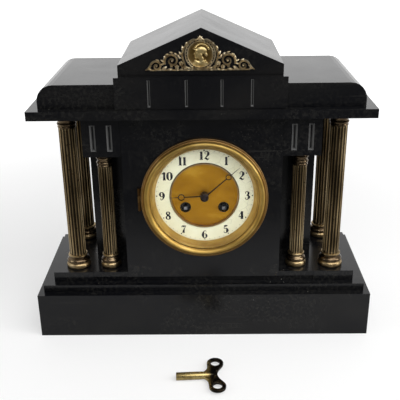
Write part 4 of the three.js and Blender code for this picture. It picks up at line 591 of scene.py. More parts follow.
gilt = finish("gilt_brass", (0.66, 0.51, 0.28), 0.3, 1.0)
high_light = shades(gilt, grain(gilt, 240, 5, warp=0.6), [
    (0.3, (0.52, 0.42, 0.26)), (0.5, (0.8, 0.68, 0.46)), (0.72, (1.0, 0.93, 0.74)),
])
# Painted shade: the gilt darkens towards the back of the casting, near the slate, down into its hollows.
painted_hollow_shade = shades(gilt, share_along(gilt, "Y", MOUNT_BACK, MOUNT_BACK - 0.0032), [
    (0.04, (0.03, 0.02, 0.012)), (0.26, (0.36, 0.29, 0.2)), (0.46, (1.0, 1.0, 1.0)),
])
away = node(gilt, "ShaderNodeVectorMath", {0: place_on(gilt), 1: mount_point(*MEDALLION, 2)}, operation="DISTANCE")
beyond_medallion = share_between(gilt, away.outputs["Value"], 0.9 * GROUND_RADIUS * MM, 1.1 * GROUND_RADIUS * MM)
handled = shades(gilt, beyond_medallion, [(0.0, (0.74, 0.66, 0.44)), (1.0, (0.93, 0.94, 0.97))])
colour_by(gilt, times(gilt, times(gilt, high_light, handled), painted_hollow_shade))
dull_by(gilt, grain(gilt, 350, 4), 0.34, 0.54)
relief(gilt, grain(gilt, 1400, 3), 0.12, 0.0002)
mount.data.materials.append(gilt)
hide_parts("pediment_mount")
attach(mount, "case")


# Dial. A cream enamel ring with fired black numbers and minute dots lies round a recessed gilt centre, which is
# turned in fine circles; both sit in a brass pan that drops into the hole in the front panel.
low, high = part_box("dial_ring")
DIAL_X = (low.x + high.x) / 2
DIAL_Z = (low.z + high.z) / 2
ENAMEL_FRONT = low.y
ENAMEL_OUTER = (high.x - low.x) / 2
ENAMEL_INNER = 0.0382
ENAMEL_EDGE = 0.0005
DIAL_CENTRE = (DIAL_X, 0, DIAL_Z)
NUMBER_CIRCLE = 0.0466
NUMBER_HEIGHT = 0.0092
NUMBER_PROUD = 0.00006
NUMBER_THICKNESS = 0.00012
NUMBER_WEIGHT = 1.36
DIGIT_WIDTH = 0.62
ONE_WIDTH = 0.5
ELEVEN_SHIFT = 0.05
DOT_CIRCLE = 0.0524
HOUR_DOT = 0.00075
MINUTE_DOT = 0.00033
# Profile of the gilt ring inside the enamel: radius, and depth behind the enamel's face.
EDGE_RING_PROFILE = [(0.0366, 0.0009), (0.037, 0.0003), (0.0375, 0.0001), (0.038, 0.0004), (0.0381, 0.0009)]
PAN_DEPTH = 0.0025
CENTRE_RADIUS = 0.0364
CENTRE_THICKNESS = 0.0002
CENTRE_GAP = 0.00005
HAND_HOLE = 0.0038
WINDING_HOLE = 0.0062
WINDING_X = 0.021
# Strokes of each number: points across and up, and the width of the line there, in hundredths of its height.
NUMBERS = {
    "0": [
        [(30, 100, 5), (11, 83, 16), (6, 50, 22), (11, 17, 16), (30, 0, 5), (49, 17, 16), (54, 50, 22), (49, 83, 16),
        (30, 100, 5)],
    ],
    "1": [
        [(30, 99, 20), (30, 50, 20), (30, 2, 20)], [(10, 2, 6), (50, 2, 6)], [(12, 86, 4), (22, 90, 7), (32, 99, 8)],
    ],
    "2": [
        [(12, 74, 16), (14, 75, 17), (16, 76, 16)], [(6, 78, 4), (14, 94, 6), (30, 100, 7), (47, 88, 18),
        (48, 68, 23), (36, 45, 13), (16, 24, 7), (5, 8, 6)], [(6, 10, 5), (20, 16, 15), (38, 5, 16), (54, 10, 5),
        (57, 24, 3)],
    ],
    "3": [
        [(11, 80, 15), (13, 81, 16), (15, 80, 15)], [(7, 82, 4), (16, 96, 6), (31, 100, 7), (47, 87, 17),
        (44, 66, 15), (24, 53, 5)], [(24, 53, 5), (47, 46, 15), (52, 26, 23), (38, 3, 9), (20, 2, 6), (6, 16, 4)],
        [(11, 20, 16), (13, 20, 17), (15, 20, 16)],
    ],
    "4": [
        [(36, 99, 7), (18, 62, 5), (3, 30, 5)], [(2, 29, 8), (58, 29, 8)], [(41, 99, 21), (41, 50, 21), (41, 2, 21)],
        [(24, 2, 6), (58, 2, 6)],
    ],
    "5": [
        [(13, 98, 7), (30, 92, 17), (53, 100, 5)], [(15, 97, 5), (12, 54, 5)], [(12, 54, 4), (28, 62, 8),
        (47, 50, 17), (51, 28, 23), (37, 4, 9), (20, 2, 6), (6, 14, 4)], [(11, 19, 16), (13, 19, 17), (15, 19, 16)],
    ],
    "6": [
        [(48, 86, 4), (38, 98, 6), (23, 92, 8), (11, 68, 17), (8, 38, 23), (15, 10, 14), (30, 1, 6), (46, 11, 13),
        (51, 30, 18), (44, 50, 12), (30, 57, 5), (16, 46, 4)], [(43, 82, 15), (45, 82, 16), (47, 82, 15)],
    ],
    "7": [
        [(4, 78, 4), (9, 96, 7), (25, 92, 18), (42, 96, 10), (57, 99, 5)], [(55, 97, 5), (40, 66, 7), (29, 36, 16),
        (25, 4, 23)],
    ],
    "8": [
        [(30, 100, 6), (14, 88, 12), (14, 68, 14), (30, 54, 15), (49, 36, 18), (48, 12, 16), (30, 0, 6), (11, 12, 14),
        (11, 34, 13), (30, 54, 7), (46, 70, 12), (46, 88, 11), (30, 100, 6)],
    ],
    "9": [
        [(12, 14, 4), (22, 2, 6), (37, 8, 8), (49, 32, 17), (52, 62, 23), (45, 90, 14), (30, 99, 6), (14, 89, 13),
        (9, 70, 18), (16, 50, 12), (30, 43, 5), (44, 54, 4)], [(13, 18, 15), (15, 18, 16), (17, 18, 15)],
    ],
}


def add_line(mesh, points, front, thickness):
    """Flat line of changing width, from points across, up and wide, made thick to the back."""
    sides = []
    for i, (x, z, _) in enumerate(points):
        out = half_across(points, i)
        sides.append([
            mesh.verts.new((x + s * out.x, y, z + s * out.y))
            for s, y in ((1, front), (-1, front), (-1, front + thickness), (1, front + thickness))
        ])
    add_solid(mesh, sides)


def add_disc(mesh, x, z, radius, front, thickness, sides):
    add_solid(mesh, [
        [mesh.verts.new((a, depth, b)) for a, b in round_points(sides, radius, x, z)]
        for depth in (front, front + thickness)
    ])


def add_number(mesh, text, x, z, height, front):
    wide = ONE_WIDTH if text in ("1", "11") else DIGIT_WIDTH
    start = x - (wide * len(text) * height) / 2 - (ELEVEN_SHIFT * height if text == "11" else 0)
    for i, digit in enumerate(text):
        for stroke in NUMBERS[digit]:
            add_line(mesh, [
                (start + (i * wide + a) * height, z + (b - 0.5) * height, NUMBER_WEIGHT * w * height)
                for a, b, w in smoothed([[size / 100 for size in point] for point in stroke], 7)
            ], front, NUMBER_THICKNESS)


enamel = finish("cream_enamel", (0.8, 0.79, 0.58), 0.12)
cream = shades(enamel, grain(enamel, 30, 5), [(0.3, (0.74, 0.73, 0.5)), (0.7, (0.86, 0.87, 0.66))])
crazing = node(enamel, "ShaderNodeTexVoronoi", {"Vector": place_on(enamel), "Scale": 90}, feature="DISTANCE_TO_EDGE")
hairlines = shades(enamel, crazing.outputs["Distance"], [(0.0, 0.55), (0.03, 0.0)])
faded = times(enamel, hairlines, shades(enamel, grain(enamel, 45, 3), [(0.48, 0.0), (0.62, 1.0)]))
colour_by(enamel, blended(enamel, faded, cream, (0.33, 0.33, 0.24)))
feed_shader(enamel, {"Coat Weight": 0.5, "Coat Roughness": 0.05})

ring = revolved("enamel_ring", [
    (ENAMEL_INNER, high.y), (ENAMEL_INNER, low.y + ENAMEL_EDGE), (ENAMEL_INNER + ENAMEL_EDGE, low.y),
    (ENAMEL_OUTER - ENAMEL_EDGE, low.y), (ENAMEL_OUTER, low.y + ENAMEL_EDGE), (ENAMEL_OUTER, high.y),
], 144, DIAL_CENTRE, "Y", closed=True)
ring.data.materials.append(enamel)
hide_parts("dial_ring")
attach(ring, "case")

lip = [(r, low.y + painted_shade_in_holes) for r, painted_shade_in_holes in EDGE_RING_PROFILE]
edge_ring = revolved("enamel_edge_ring", [
    (lip[0][0], high.y), *lip, (lip[-1][0], high.y),
], 128, DIAL_CENTRE, "Y", closed=True)
edge_ring.data.materials.append(gilt)
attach(edge_ring, "case")

numbers_mesh = bmesh.new()
front = ENAMEL_FRONT - NUMBER_PROUD
for hour in range(1, 13):
    angle = radians(30 * hour)
    x, z = sin(angle), cos(angle)
    add_number(numbers_mesh, str(hour), DIAL_X + NUMBER_CIRCLE * x, DIAL_Z + NUMBER_CIRCLE * z, NUMBER_HEIGHT, front)
for minute in range(60):
    angle = radians(6 * minute)
    x, z = DIAL_X + DOT_CIRCLE * sin(angle), DIAL_Z + DOT_CIRCLE * cos(angle)
    add_disc(numbers_mesh, x, z, MINUTE_DOT if minute % 5 else HOUR_DOT, front, NUMBER_THICKNESS, 12)
numbers = as_piece("dial_numbers", numbers_mesh)
ink = finish("fired_black", (0.008, 0.008, 0.011), 0.22)
colour_by(ink, shades(ink, grain(ink, 300, 3), [(0.35, (0.006, 0.006, 0.008)), (0.7, (0.016, 0.015, 0.02))]))
numbers.data.materials.append(ink)
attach(numbers, "case")

pan_gilt = finish("pan_gilt", (0.3, 0.19, 0.07), 0.36, 1.0)
pan_ground = shades(pan_gilt, grain(pan_gilt, 60, 5), [(0.3, (0.22, 0.13, 0.045)), (0.7, (0.38, 0.25, 0.1))])
# The pan is darker at its front flange, where it lies under the bezel.
darker_pan_front = shades(pan_gilt, share_along(pan_gilt, "Y", ENAMEL_FRONT - 0.008, ENAMEL_FRONT - 0.006), [
    (0.1, (0.3, 0.24, 0.2)), (0.9, (1.0, 1.0, 1.0)),
])
colour_by(pan_gilt, times(pan_gilt, pan_ground, darker_pan_front))
relief(pan_gilt, grain(pan_gilt, 700, 3), 0.08, 0.0001)
dress("dial_pan", pan_gilt)


def filled_outline(name, outlines, thickness, edge=0.0):
    """Flat piece of its outline and its holes, as a flat curve filled and made thick; the edge may be rounded."""
    curve = bpy.data.curves.new(name, "CURVE")
    curve.dimensions = "2D"
    curve.fill_mode = "BOTH"
    curve.extrude = thickness / 2 - edge
    curve.bevel_depth = edge
    curve.bevel_resolution = 2
    curve.offset = -edge
    for outline in outlines:
        spline = curve.splines.new("POLY")
        spline.points.add(len(outline) - 1)
        for point, (x, y) in zip(spline.points, outline):
            point.co = (x, y, 0, 1)
        spline.use_cyclic_u = True
    holder = put_in_scene(name, curve)
    bpy.context.view_layer.update()
    data = bpy.data.meshes.new_from_object(holder.evaluated_get(bpy.context.evaluated_depsgraph_get()))
    bpy.data.objects.remove(holder)
    return put_in_scene(name, data)


# Centre of the dial. A thin gilt plate, turned in fine circles and gone browner in clouds, lies on the floor of the
# pan inside the ring. It has one hole for the arbors of the hands and two for the winding squares.
winding_low, winding_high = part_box("going_winding_arbor")
winding_drop = DIAL_Z - (winding_low.z + winding_high.z) / 2
centre_plate = filled_outline("dial_centre_plate", [
    round_points(96, radius, x, z) for x, z, radius in (
        (0, 0, CENTRE_RADIUS), (0, 0, HAND_HOLE),
        (WINDING_X, -winding_drop, WINDING_HOLE), (-WINDING_X, -winding_drop, WINDING_HOLE),
    )
], CENTRE_THICKNESS)
plate_middle = ENAMEL_FRONT + PAN_DEPTH - CENTRE_GAP - CENTRE_THICKNESS / 2
centre_plate.data.transform(
    Matrix.Translation((DIAL_X, plate_middle, DIAL_Z)) @ Matrix.Rotation(pi / 2, 4, "X")
)


def from_dial_centre(material):
    """Distance from the dial's axis."""
    centred = node(material, "ShaderNodeVectorMath", {0: place_on(material), 1: DIAL_CENTRE}, operation="SUBTRACT")
    flat = node(material, "ShaderNodeVectorMath", {0: centred.outputs[0], 1: (1, 0, 1)}, operation="MULTIPLY")
    return node(material, "ShaderNodeVectorMath", {0: flat.outputs[0]}, operation="LENGTH").outputs["Value"]


def turning_marks(material, scale):
    """Fine circles round the dial's axis, as a turning tool leaves them."""
    return node(material, "ShaderNodeTexNoise", {
        "W": from_dial_centre(material), "Scale": scale, "Detail": 3,
    }, noise_dimensions="1D").outputs["Fac"]


turned_gilt = finish("turned_gilt", (0.42, 0.21, 0.014), 0.5, 1.0)
circles = turning_marks(turned_gilt, 2600)
ground = shades(turned_gilt, grain(turned_gilt, 45, 6, (1, 1, 1.8), 0.4), [
    (0.3, (0.38, 0.18, 0.012)), (0.55, (0.49, 0.245, 0.016)), (0.75, (0.63, 0.36, 0.035)),
])
colour_by(turned_gilt, times(turned_gilt, ground, shades(turned_gilt, circles, [(0.35, 0.78), (0.65, 1.0)])))
relief(turned_gilt, circles, 0.12, 0.0001)
centre_plate.data.materials.append(turned_gilt)
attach(centre_plate, "case")


# Bezel. Turned and gilt brass: a milled rope at the outer edge, a bright fillet, a broad half-round, a dark groove
# and a sloping ring with a finer rope at the glass. It hinges at the left and holds a slightly domed glass.
low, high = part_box("bezel")
BEZEL_OUTER = high.x - DIAL_X
slate_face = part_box("front_panel")[0].y
# Ropes: place against the outer edge, rise from the slate, thickness and turns.
OUTER_ROPE = (-0.00095, 0.0033, 0.00085, 150)
SIGHT_ROPE = (-0.0146, -0.0056, 0.00045, 200)
ROPE_SWELL = 0.22
BEZEL_PROFILE = [
    (-0.0149, -0.0066), (-0.0146, -0.0058), (-0.0133, -0.0012), (-0.0121, 0.0021), (-0.0114, 0.0032),
    (-0.0108, 0.0037), (-0.0103, 0.0037), (-0.0101, 0.0029), (-0.0099, 0.0036), (-0.0095, 0.0052),
    (-0.0087, 0.0067), (-0.0076, 0.0077), (-0.0064, 0.0082), (-0.0052, 0.0079), (-0.0042, 0.0071),
    (-0.0036, 0.006), (-0.0034, 0.0049), (-0.0031, 0.0047), (-0.0028, 0.0052), (-0.0023, 0.0054),
    (-0.0018, 0.005), (-0.0016, 0.0038), (-0.0006, 0.0036), (-0.0002, 0.0028), (0.0, 0.002), (-0.0003, 0.0004),
    (-0.0045, 0.0003), (-0.0045, 0.0016), (-0.0114, 0.0016), (-0.0137, -0.0065),
]
profile = [(BEZEL_OUTER + r, slate_face - rise) for r, rise in BEZEL_PROFILE]
HINGE_REACH = 0.0708
HINGE_STANDOFF = 0.0021
KNUCKLE_RADIUS = 0.0016
KNUCKLE_HALF = 0.0042


def rope_ring(name, inward, rise, thickness, turns):
    """Ring of slanting beads, as a milling tool leaves them on a turned edge."""
    mesh = bmesh.new()
    rings = []
    for i in range(turns * 4):
        angle = 2 * pi * i / (turns * 4)
        ring = []
        for k in range(8):
            side = 2 * pi * k / 8
            swell = thickness * (1 + ROPE_SWELL * sin(turns * angle + side))
            r = BEZEL_OUTER + inward + swell * cos(side)
            ring.append(mesh.verts.new((
                DIAL_X + r * cos(angle), slate_face - rise + swell * sin(side),
                DIAL_Z + r * sin(angle),
            )))
        rings.append(ring)
    add_skin(mesh, [*rings, rings[0]])
    return as_piece(name, mesh, 70)


bezel_gilt = finish("bezel_gilt", (0.52, 0.31, 0.07), 0.27, 1.0)
band = shades(bezel_gilt, grain(bezel_gilt, 55, 6, warp=0.5), [
    (0.3, (0.45, 0.275, 0.062)), (0.55, (0.57, 0.37, 0.094)), (0.78, (0.7, 0.49, 0.165)),
])
outward = share_between(bezel_gilt, from_dial_centre(bezel_gilt), BEZEL_OUTER - 0.0045, BEZEL_OUTER + 0.0008)
tarnish = shades(bezel_gilt, outward, [
    (0.1, (1.0, 1.0, 1.0)), (0.45, (0.78, 0.7, 0.85)), (0.8, (0.6, 0.55, 0.8)), (0.98, (0.28, 0.24, 0.3)),
])
# Painted shade: the bezel is darker towards its top, under the cornice, and a little darker at its very bottom.
painted_shade_by_height = shades(bezel_gilt, share_along(bezel_gilt, "Z", DIAL_Z - BEZEL_OUTER, DIAL_Z + BEZEL_OUTER), [
    (0.02, (0.74, 0.74, 0.82)), (0.3, (1.0, 1.0, 1.0)), (0.67, (1.0, 1.0, 1.0)), (0.97, (0.58, 0.6, 0.7)),
])
colour_by(bezel_gilt, times(bezel_gilt, times(bezel_gilt, band, tarnish), painted_shade_by_height))
dull_by(bezel_gilt, grain(bezel_gilt, 160, 4), 0.36, 0.46)
relief(bezel_gilt, turning_marks(bezel_gilt, 1800), 0.06, 0.0001)

knuckle_profile = [
    (KNUCKLE_RADIUS * wide, DIAL_Z + KNUCKLE_HALF * up)
    for wide, up in ((0.8, -1.0), (1.0, -0.94), (1.0, 0.94), (0.8, 1.0))
]
turned_bezel = join_pieces("bezel_turned", [
    revolved("bezel_knuckle", knuckle_profile, 32, (DIAL_X - HINGE_REACH, slate_face - HINGE_STANDOFF, 0)),
    revolved("bezel_ring", profile, 160, DIAL_CENTRE, "Y", closed=True),
    rope_ring("bezel_rope", *OUTER_ROPE),
    rope_ring("sight_rope", *SIGHT_ROPE),
])
turned_bezel.data.materials.append(bezel_gilt)
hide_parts("bezel")
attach(turned_bezel, "bezel_door")

glass = finish("dial_glass", (1, 1, 1), 0.02)
feed_shader(glass, {"Transmission Weight": 1.0, "IOR": 1.2})
DOME = [(1.0, 0.0), (0.85, 0.27), (0.6, 0.64), (0.35, 0.88), (0.12, 0.99), (0.0, 1.0)]
DOME_RISE = 0.0013
glass_low, glass_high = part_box("bezel_glass")
glass_radius = glass_high.x - DIAL_X
inner_face = [(r * glass_radius, glass_high.y - up * DOME_RISE) for r, up in DOME]
glass_thickness = glass_high.y - glass_low.y - DOME_RISE
sheet = revolved("domed_glass", [
    *inner_face[::-1], *[(r, y - glass_thickness) for r, y in inner_face],
], 128, DIAL_CENTRE, "Y")
sheet.data.materials.append(glass)
sheet.visible_shadow = False
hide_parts("bezel_glass")
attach(sheet, "bezel_door")


# Hands and their nut. Both hands are sawn and filed from thin steel, each with a ring near its end, and blued by
# heat, gone nearly black. The hour hand is pressed on its wheel's pipe; the nut holds the minute hand on its square.
blued = finish("blued_steel", (0.03, 0.026, 0.028), 0.36, 1.0)
colour_by(blued, shades(blued, grain(blued, 120, 4), [
    (0.35, (0.012, 0.009, 0.01)), (0.65, (0.035, 0.027, 0.026)),
]))
relief(blued, grain(blued, 900, 3), 0.05, 0.0001)
for name in ("hour_hand", "minute_hand", "hand_nut"):
    dress(name, blued)


# Movement. Brass plates and wheels, rubbed straight with fine stone, and steel arbors, with thin old oil on both.
# The arbors turn in holes of the two plates, which four pillars hold apart; pins and screws hold the rest to them.
brass = finish("plain_brass", (0.6, 0.44, 0.18), 0.3, 1.0)
straight_marks = grain(brass, 2600, 2, (1, 1, 0.08))
oil_stains = shades(brass, grain(brass, 40, 6, warp=0.5), [
    (0.28, (0.42, 0.28, 0.1)), (0.45, (0.58, 0.42, 0.17)), (0.75, (0.7, 0.54, 0.25)),
])
colour_by(brass, blended(brass, flecks(brass, 260, 0.16, 0.18), oil_stains, (0.2, 0.12, 0.045)))
dull_by(brass, straight_marks, 0.26, 0.34)
relief(brass, straight_marks, 0.03, 0.0001)

steel = finish("polished_steel", (0.42, 0.42, 0.43), 0.26, 1.0)
polish = grain(steel, 700, 3, (1, 0.1, 1))
colour_by(steel, shades(steel, grain(steel, 90, 5), [
    (0.3, (0.26, 0.25, 0.25)), (0.45, (0.4, 0.4, 0.41)), (0.75, (0.54, 0.54, 0.55)),
]))
dull_by(steel, polish, 0.2, 0.36)
relief(steel, polish, 0.08, 0.0001)

dark_steel = finish("oiled_steel", (0.09, 0.09, 0.092), 0.34, 1.0)
oiled = shades(dark_steel, grain(dark_steel, 120, 4), [(0.3, (0.14, 0.14, 0.142)), (0.7, (0.34, 0.34, 0.35))])
# Painted shade: the winding arbors darken from their front ends back into the holes of the dial.
painted_shade_in_holes = shades(dark_steel, share_along(dark_steel, "Y", winding_low.y, winding_low.y + 0.006), [
    (0.05, 1.0), (0.25, 0.35), (0.7, 0.08),
])
colour_by(dark_steel, times(dark_steel, oiled, painted_shade_in_holes))
relief(dark_steel, grain(dark_steel, 800, 3), 0.06, 0.0001)

for material, names in (
    (brass, (
        "front_plate", "back_plate", "suspension_cock", "centre_wheel", "hour_wheel", "minute_wheel",
        "going_barrel", "going_second_wheel", "third_wheel", "strike_barrel", "strike_second_wheel",
        "pin_wheel", "locking_wheel",
    )),
    (dark_steel, ("going_winding_arbor", "strike_winding_arbor")),
    (steel, ("escape_wheel", "anchor", "fly", "hammer", "regulator_arbor", "pendulum_rod", "bell_stand")),
):
    for name in names:
        dress(name, material)


# Bell. A shallow bowl cast in bell metal, a mixture of copper and tin, and turned smooth outside. It is held by its
# middle on the steel stand behind the movement, where the hammer reaches its rim.
bell_metal = finish("bell_metal", (0.55, 0.45, 0.27), 0.24, 1.0)
cast_tone = shades(bell_metal, grain(bell_metal, 35, 5), [(0.3, (0.4, 0.31, 0.17)), (0.7, (0.62, 0.52, 0.33))])
colour_by(bell_metal, blended(bell_metal, flecks(bell_metal, 300, 0.2, 0.25), cast_tone, (0.17, 0.12, 0.06)))
dull_by(bell_metal, grain(bell_metal, 90, 5), 0.16, 0.32)
relief(bell_metal, grain(bell_metal, 500, 4), 0.15, 0.0002)

bell_low, bell_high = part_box("bell")
BELL_PROFILE = [(1.0, 0.0), (1.0, 0.06), (0.985, 0.12), (0.982, 0.26), (0.955, 0.44), (0.9, 0.58), (0.81, 0.71),
                (0.68, 0.83), (0.5, 0.92), (0.3, 0.98), (0.12, 1.0), (0.075, 1.0)]
BELL_WALL = 0.0016
bell_radius = (bell_high.x - bell_low.x) / 2
bell_depth = bell_high.y - bell_low.y
bell_inside = [
    ((bell_radius - BELL_WALL) * r if r > 0.1 else bell_radius * r, bell_low.y + (bell_depth - BELL_WALL) * d)
    for r, d in BELL_PROFILE
]
bell = revolved("bell_cast", [
    *[(bell_radius * r, bell_low.y + bell_depth * d) for r, d in BELL_PROFILE], *bell_inside[::-1],
], 128, ((bell_low.x + bell_high.x) / 2, 0, (bell_low.z + bell_high.z) / 2), "Y", closed=True)
bell.data.materials.append(bell_metal)
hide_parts("bell")
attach(bell, "case")


# Pendulum bob. A lens turned from brass, bored across its middle for the steel rod. It rests on the rating nut under
# it, and is rubbed like the plates.
bob_low, bob_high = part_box("pendulum_bob")
BOB_PROFILE = [
    (0.0, -1.0), (0.2, -0.985), (0.4, -0.94), (0.6, -0.85), (0.8, -0.66), (0.92, -0.48), (0.98, -0.38),
    (1.0, -0.3), (1.0, 0.3), (0.98, 0.38), (0.92, 0.48), (0.8, 0.66), (0.6, 0.85), (0.4, 0.94), (0.2, 0.985),
    (0.0, 1.0),
]
bob_radius = (bob_high.x - bob_low.x) / 2
bob_half = (bob_high.y - bob_low.y) / 2
bob = revolved("bob_turned", [(bob_radius * r, bob_half * d) for r, d in BOB_PROFILE], 96, (
    (bob_low.x + bob_high.x) / 2, (bob_low.y + bob_high.y) / 2, (bob_low.z + bob_high.z) / 2,
), "Y")
bob.data.materials.append(brass)
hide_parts("pendulum_bob")
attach(bob, "pendulum")


# Rear ring and back door. A turned brass ring, screwed to the two straps, holds the movement in the case from
# behind; the door in it is spun from thin brass, hangs on an upright pin and opens by a small turned knob.
ring_low, ring_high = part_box("rear_ring")
door_low, door_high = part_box("back_door")
SHEET = 0.0012
RING_FRONT = ring_low.y
RING_BACK = RING_FRONT + SHEET
DOOR_FRONT = door_low.y
DOOR_BACK = DOOR_FRONT + SHEET
REAR_PIN_X = door_high.x - KNUCKLE_RADIUS
REAR_PIN_Y = ring_high.y - KNUCKLE_RADIUS
REAR_HINGE_HALF = 0.011
REAR_LUG_HALF = 0.34 * REAR_HINGE_HALF
REAR_GAP = 0.0004
REAR_ROUNDING = 0.0003
BLOCK_EDGE = 0.00015
POST_HALF = 0.0008
POST_SINK = 0.0004
LEAF_START = 0.0445
KNOB_X = DIAL_X - 0.034
SCREW_CIRCLE = 0.0533
SCREW_ANGLES = (25, 155, 270)
SCREW_RADIUS = 0.0019
SCREW_SINK = 0.0001
SCREW_SEAT = 0.0003
# Half heads of the screws: share of their radius, and rise from the ring.
SCREW_PROFILE = [(1.0, 0.0002), (1.0, 0.0007), (0.85, 0.001)]
SLOT_HALF = 0.00028
RING_PROFILE = [
    (0.046, 0.0), (0.0578, 0.0), (0.058, 0.0002), (0.058, 0.0008), (0.0576, 0.0013), (0.0568, 0.0017),
    (0.056, 0.0013), (0.0556, 0.0012), (0.0464, 0.0012), (0.046, 0.001),
]
DOOR_PROFILE = [
    (0.0, 0.0), (0.0487, 0.0), (0.049, 0.0003), (0.049, 0.0009), (0.0487, 0.0012), (0.046, 0.0012),
    (0.0455, 0.0016), (0.0448, 0.0016), (0.0444, 0.0012), (0.0432, 0.0012), (0.0427, 0.0018), (0.042, 0.0024),
    (0.041, 0.0028), (0.0395, 0.003), (0.03, 0.0032), (0.015, 0.0034), (0.0, 0.0034),
]
KNOB_PROFILE = [
    (0.0026, 0.0), (0.0026, 0.0018), (0.0016, 0.0023), (0.0013, 0.0028), (0.0015, 0.0032), (0.0023, 0.0036),
    (0.0029, 0.0042), (0.003, 0.0049), (0.0027, 0.0056), (0.0018, 0.0061), (0.0, 0.0062),
]


def plain_block(name, low, high):
    mesh = bmesh.new()
    bmesh.ops.create_cube(mesh, size=1)
    for corner in mesh.verts:
        corner.co = [a + (0.5 + share) * (b - a) for a, b, share in zip(low, high, corner.co)]
    bmesh.ops.bevel(mesh, geom=mesh.edges[:], offset=BLOCK_EDGE, segments=1, affect="EDGES")
    return as_piece(name, mesh)


def pin_knuckle(name, bottom, top):
    neck = KNUCKLE_RADIUS - REAR_ROUNDING
    return revolved(name, [
        (neck, bottom), (KNUCKLE_RADIUS, bottom + REAR_ROUNDING), (KNUCKLE_RADIUS, top - REAR_ROUNDING), (neck, top),
    ], 32, (REAR_PIN_X, REAR_PIN_Y, 0))


def slotted_screw(name, x, back, z):
    """Round screw head with a slot across it, drawn as two half heads on a thin disc."""
    parts = [revolved(f"{name}_seat", [(SCREW_RADIUS, 0.0), (SCREW_RADIUS, SCREW_SEAT)], 32, (x, back, z), "Y")]
    for way in (-1, 1):
        half = bmesh.new()
        rings = []
        for share, rise in SCREW_PROFILE:
            reach = SCREW_RADIUS * share
            start = asin(SLOT_HALF / reach)
            angles = [start + (pi - 2 * start) * k / 12 for k in range(13)]
            rings.append([half.verts.new((
                x + reach * cos(a), back + rise, z + way * reach * sin(a),
            )) for a in angles])
        add_solid(half, rings)
        parts.append(as_piece(f"{name}_half", half))
    return parts


turned_brass = finish("turned_brass", (0.56, 0.4, 0.16), 0.3, 1.0)
spun = turning_marks(turned_brass, 1500)
aged = shades(turned_brass, grain(turned_brass, 22, 6, warp=0.5), [
    (0.3, (0.4, 0.27, 0.1)), (0.5, (0.53, 0.38, 0.15)), (0.75, (0.64, 0.49, 0.22)),
])
colour_by(turned_brass, times(turned_brass, aged, shades(turned_brass, spun, [(0.35, 0.8), (0.65, 1.0)])))
dull_by(turned_brass, spun, 0.24, 0.38)
relief(turned_brass, spun, 0.1, 0.0001)

fittings = []
for bottom, top in (
    (DIAL_Z - REAR_HINGE_HALF, DIAL_Z - REAR_LUG_HALF - REAR_GAP),
    (DIAL_Z + REAR_LUG_HALF + REAR_GAP, DIAL_Z + REAR_HINGE_HALF),
):
    fittings += [pin_knuckle("ring_knuckle", bottom, top), plain_block(
        "ring_post", (REAR_PIN_X - POST_HALF, RING_BACK - POST_SINK, bottom),
        (REAR_PIN_X + POST_HALF, REAR_PIN_Y, top),
    )]
for angle in SCREW_ANGLES:
    across, up = SCREW_CIRCLE * cos(radians(angle)), SCREW_CIRCLE * sin(radians(angle))
    fittings += slotted_screw("ring_screw", DIAL_X + across, RING_BACK - SCREW_SINK, DIAL_Z - up)
ring = join_pieces("rear_ring_turned", [
    revolved("ring", [(r, RING_FRONT + rise) for r, rise in RING_PROFILE], 128, DIAL_CENTRE, "Y", closed=True),
    *fittings,
])
ring.data.materials.append(turned_brass)
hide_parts("rear_ring")
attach(ring, "case")

door = join_pieces("back_door_spun", [
    revolved("door", [(r, DOOR_FRONT + rise) for r, rise in DOOR_PROFILE], 128, DIAL_CENTRE, "Y"),
    revolved("knob", [(r, DOOR_BACK + rise) for r, rise in KNOB_PROFILE], 48, (KNOB_X, 0, DIAL_Z), "Y"),
    pin_knuckle("door_knuckle", DIAL_Z - REAR_LUG_HALF, DIAL_Z + REAR_LUG_HALF),
    plain_block(
        "door_leaf", (DIAL_X + LEAF_START, DOOR_FRONT + REAR_ROUNDING, DIAL_Z - REAR_LUG_HALF),
        (REAR_PIN_X, DOOR_BACK + REAR_ROUNDING, DIAL_Z + REAR_LUG_HALF),
    ),
])
door.data.materials.append(turned_brass)
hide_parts("back_door")
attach(door, "door")


# Winding key, lying on the table in front. Its brass barrel has a square socket and is rubbed bright; it runs out
# into a flat bow of two rings, gone nearly black.
KEY_PLACE = (0.0132, -0.1559, 0.0041)
KEY_TURN = radians(3.2)
KEY_LENGTH = 0.042
KEY_RADIUS = 0.0041
SOCKET_HALF = 0.00195
SOCKET_DEPTH = 0.016
RING_SPAN = 0.019
RING_RADIUS = 0.0088
RING_HOLE = 0.0049
BOW_THICKNESS = 0.003
BOW_EDGE = 0.0005
BOW_WAIST = [(-0.78, 0.2), (-0.66, 0.27), (-0.56, 0.37), (-0.48, 0.54)]
BOW_NECK = [(0.3, 0.62), (0.17, 0.42), (0.08, 0.2), (0.05, 0.0)]
BARREL_PROFILE = [
    (0.94, 0.0), (1.0, 0.01), (1.0, 0.5), (0.98, 0.62), (0.9, 0.72), (0.76, 0.82), (0.62, 0.89), (0.5, 0.92),
]


def bow_outline(sides):
    """Outline of the bow, in metres from its middle: a ring at each side, joined by a waist and the neck."""
    upper = [(x * RING_SPAN, y * RING_SPAN) for x, y in [(-0.95, 0.16), *BOW_WAIST]]
    for k in range(sides + 1):
        angle = radians(188 - 222 * k / sides)
        upper.append((RING_RADIUS * cos(angle), RING_SPAN + RING_RADIUS * sin(angle)))
    upper += [(x * RING_SPAN, y * RING_SPAN) for x, y in BOW_NECK]
    return upper + [(x, -y) for x, y in upper[-2::-1]]


bow = filled_outline("bow", [
    bow_outline(40), *[round_points(40, RING_HOLE, 0, side * RING_SPAN) for side in (-1, 1)],
], BOW_THICKNESS, BOW_EDGE)
bow.data.shade_smooth()
bow.data.set_sharp_from_angle(angle=radians(35))

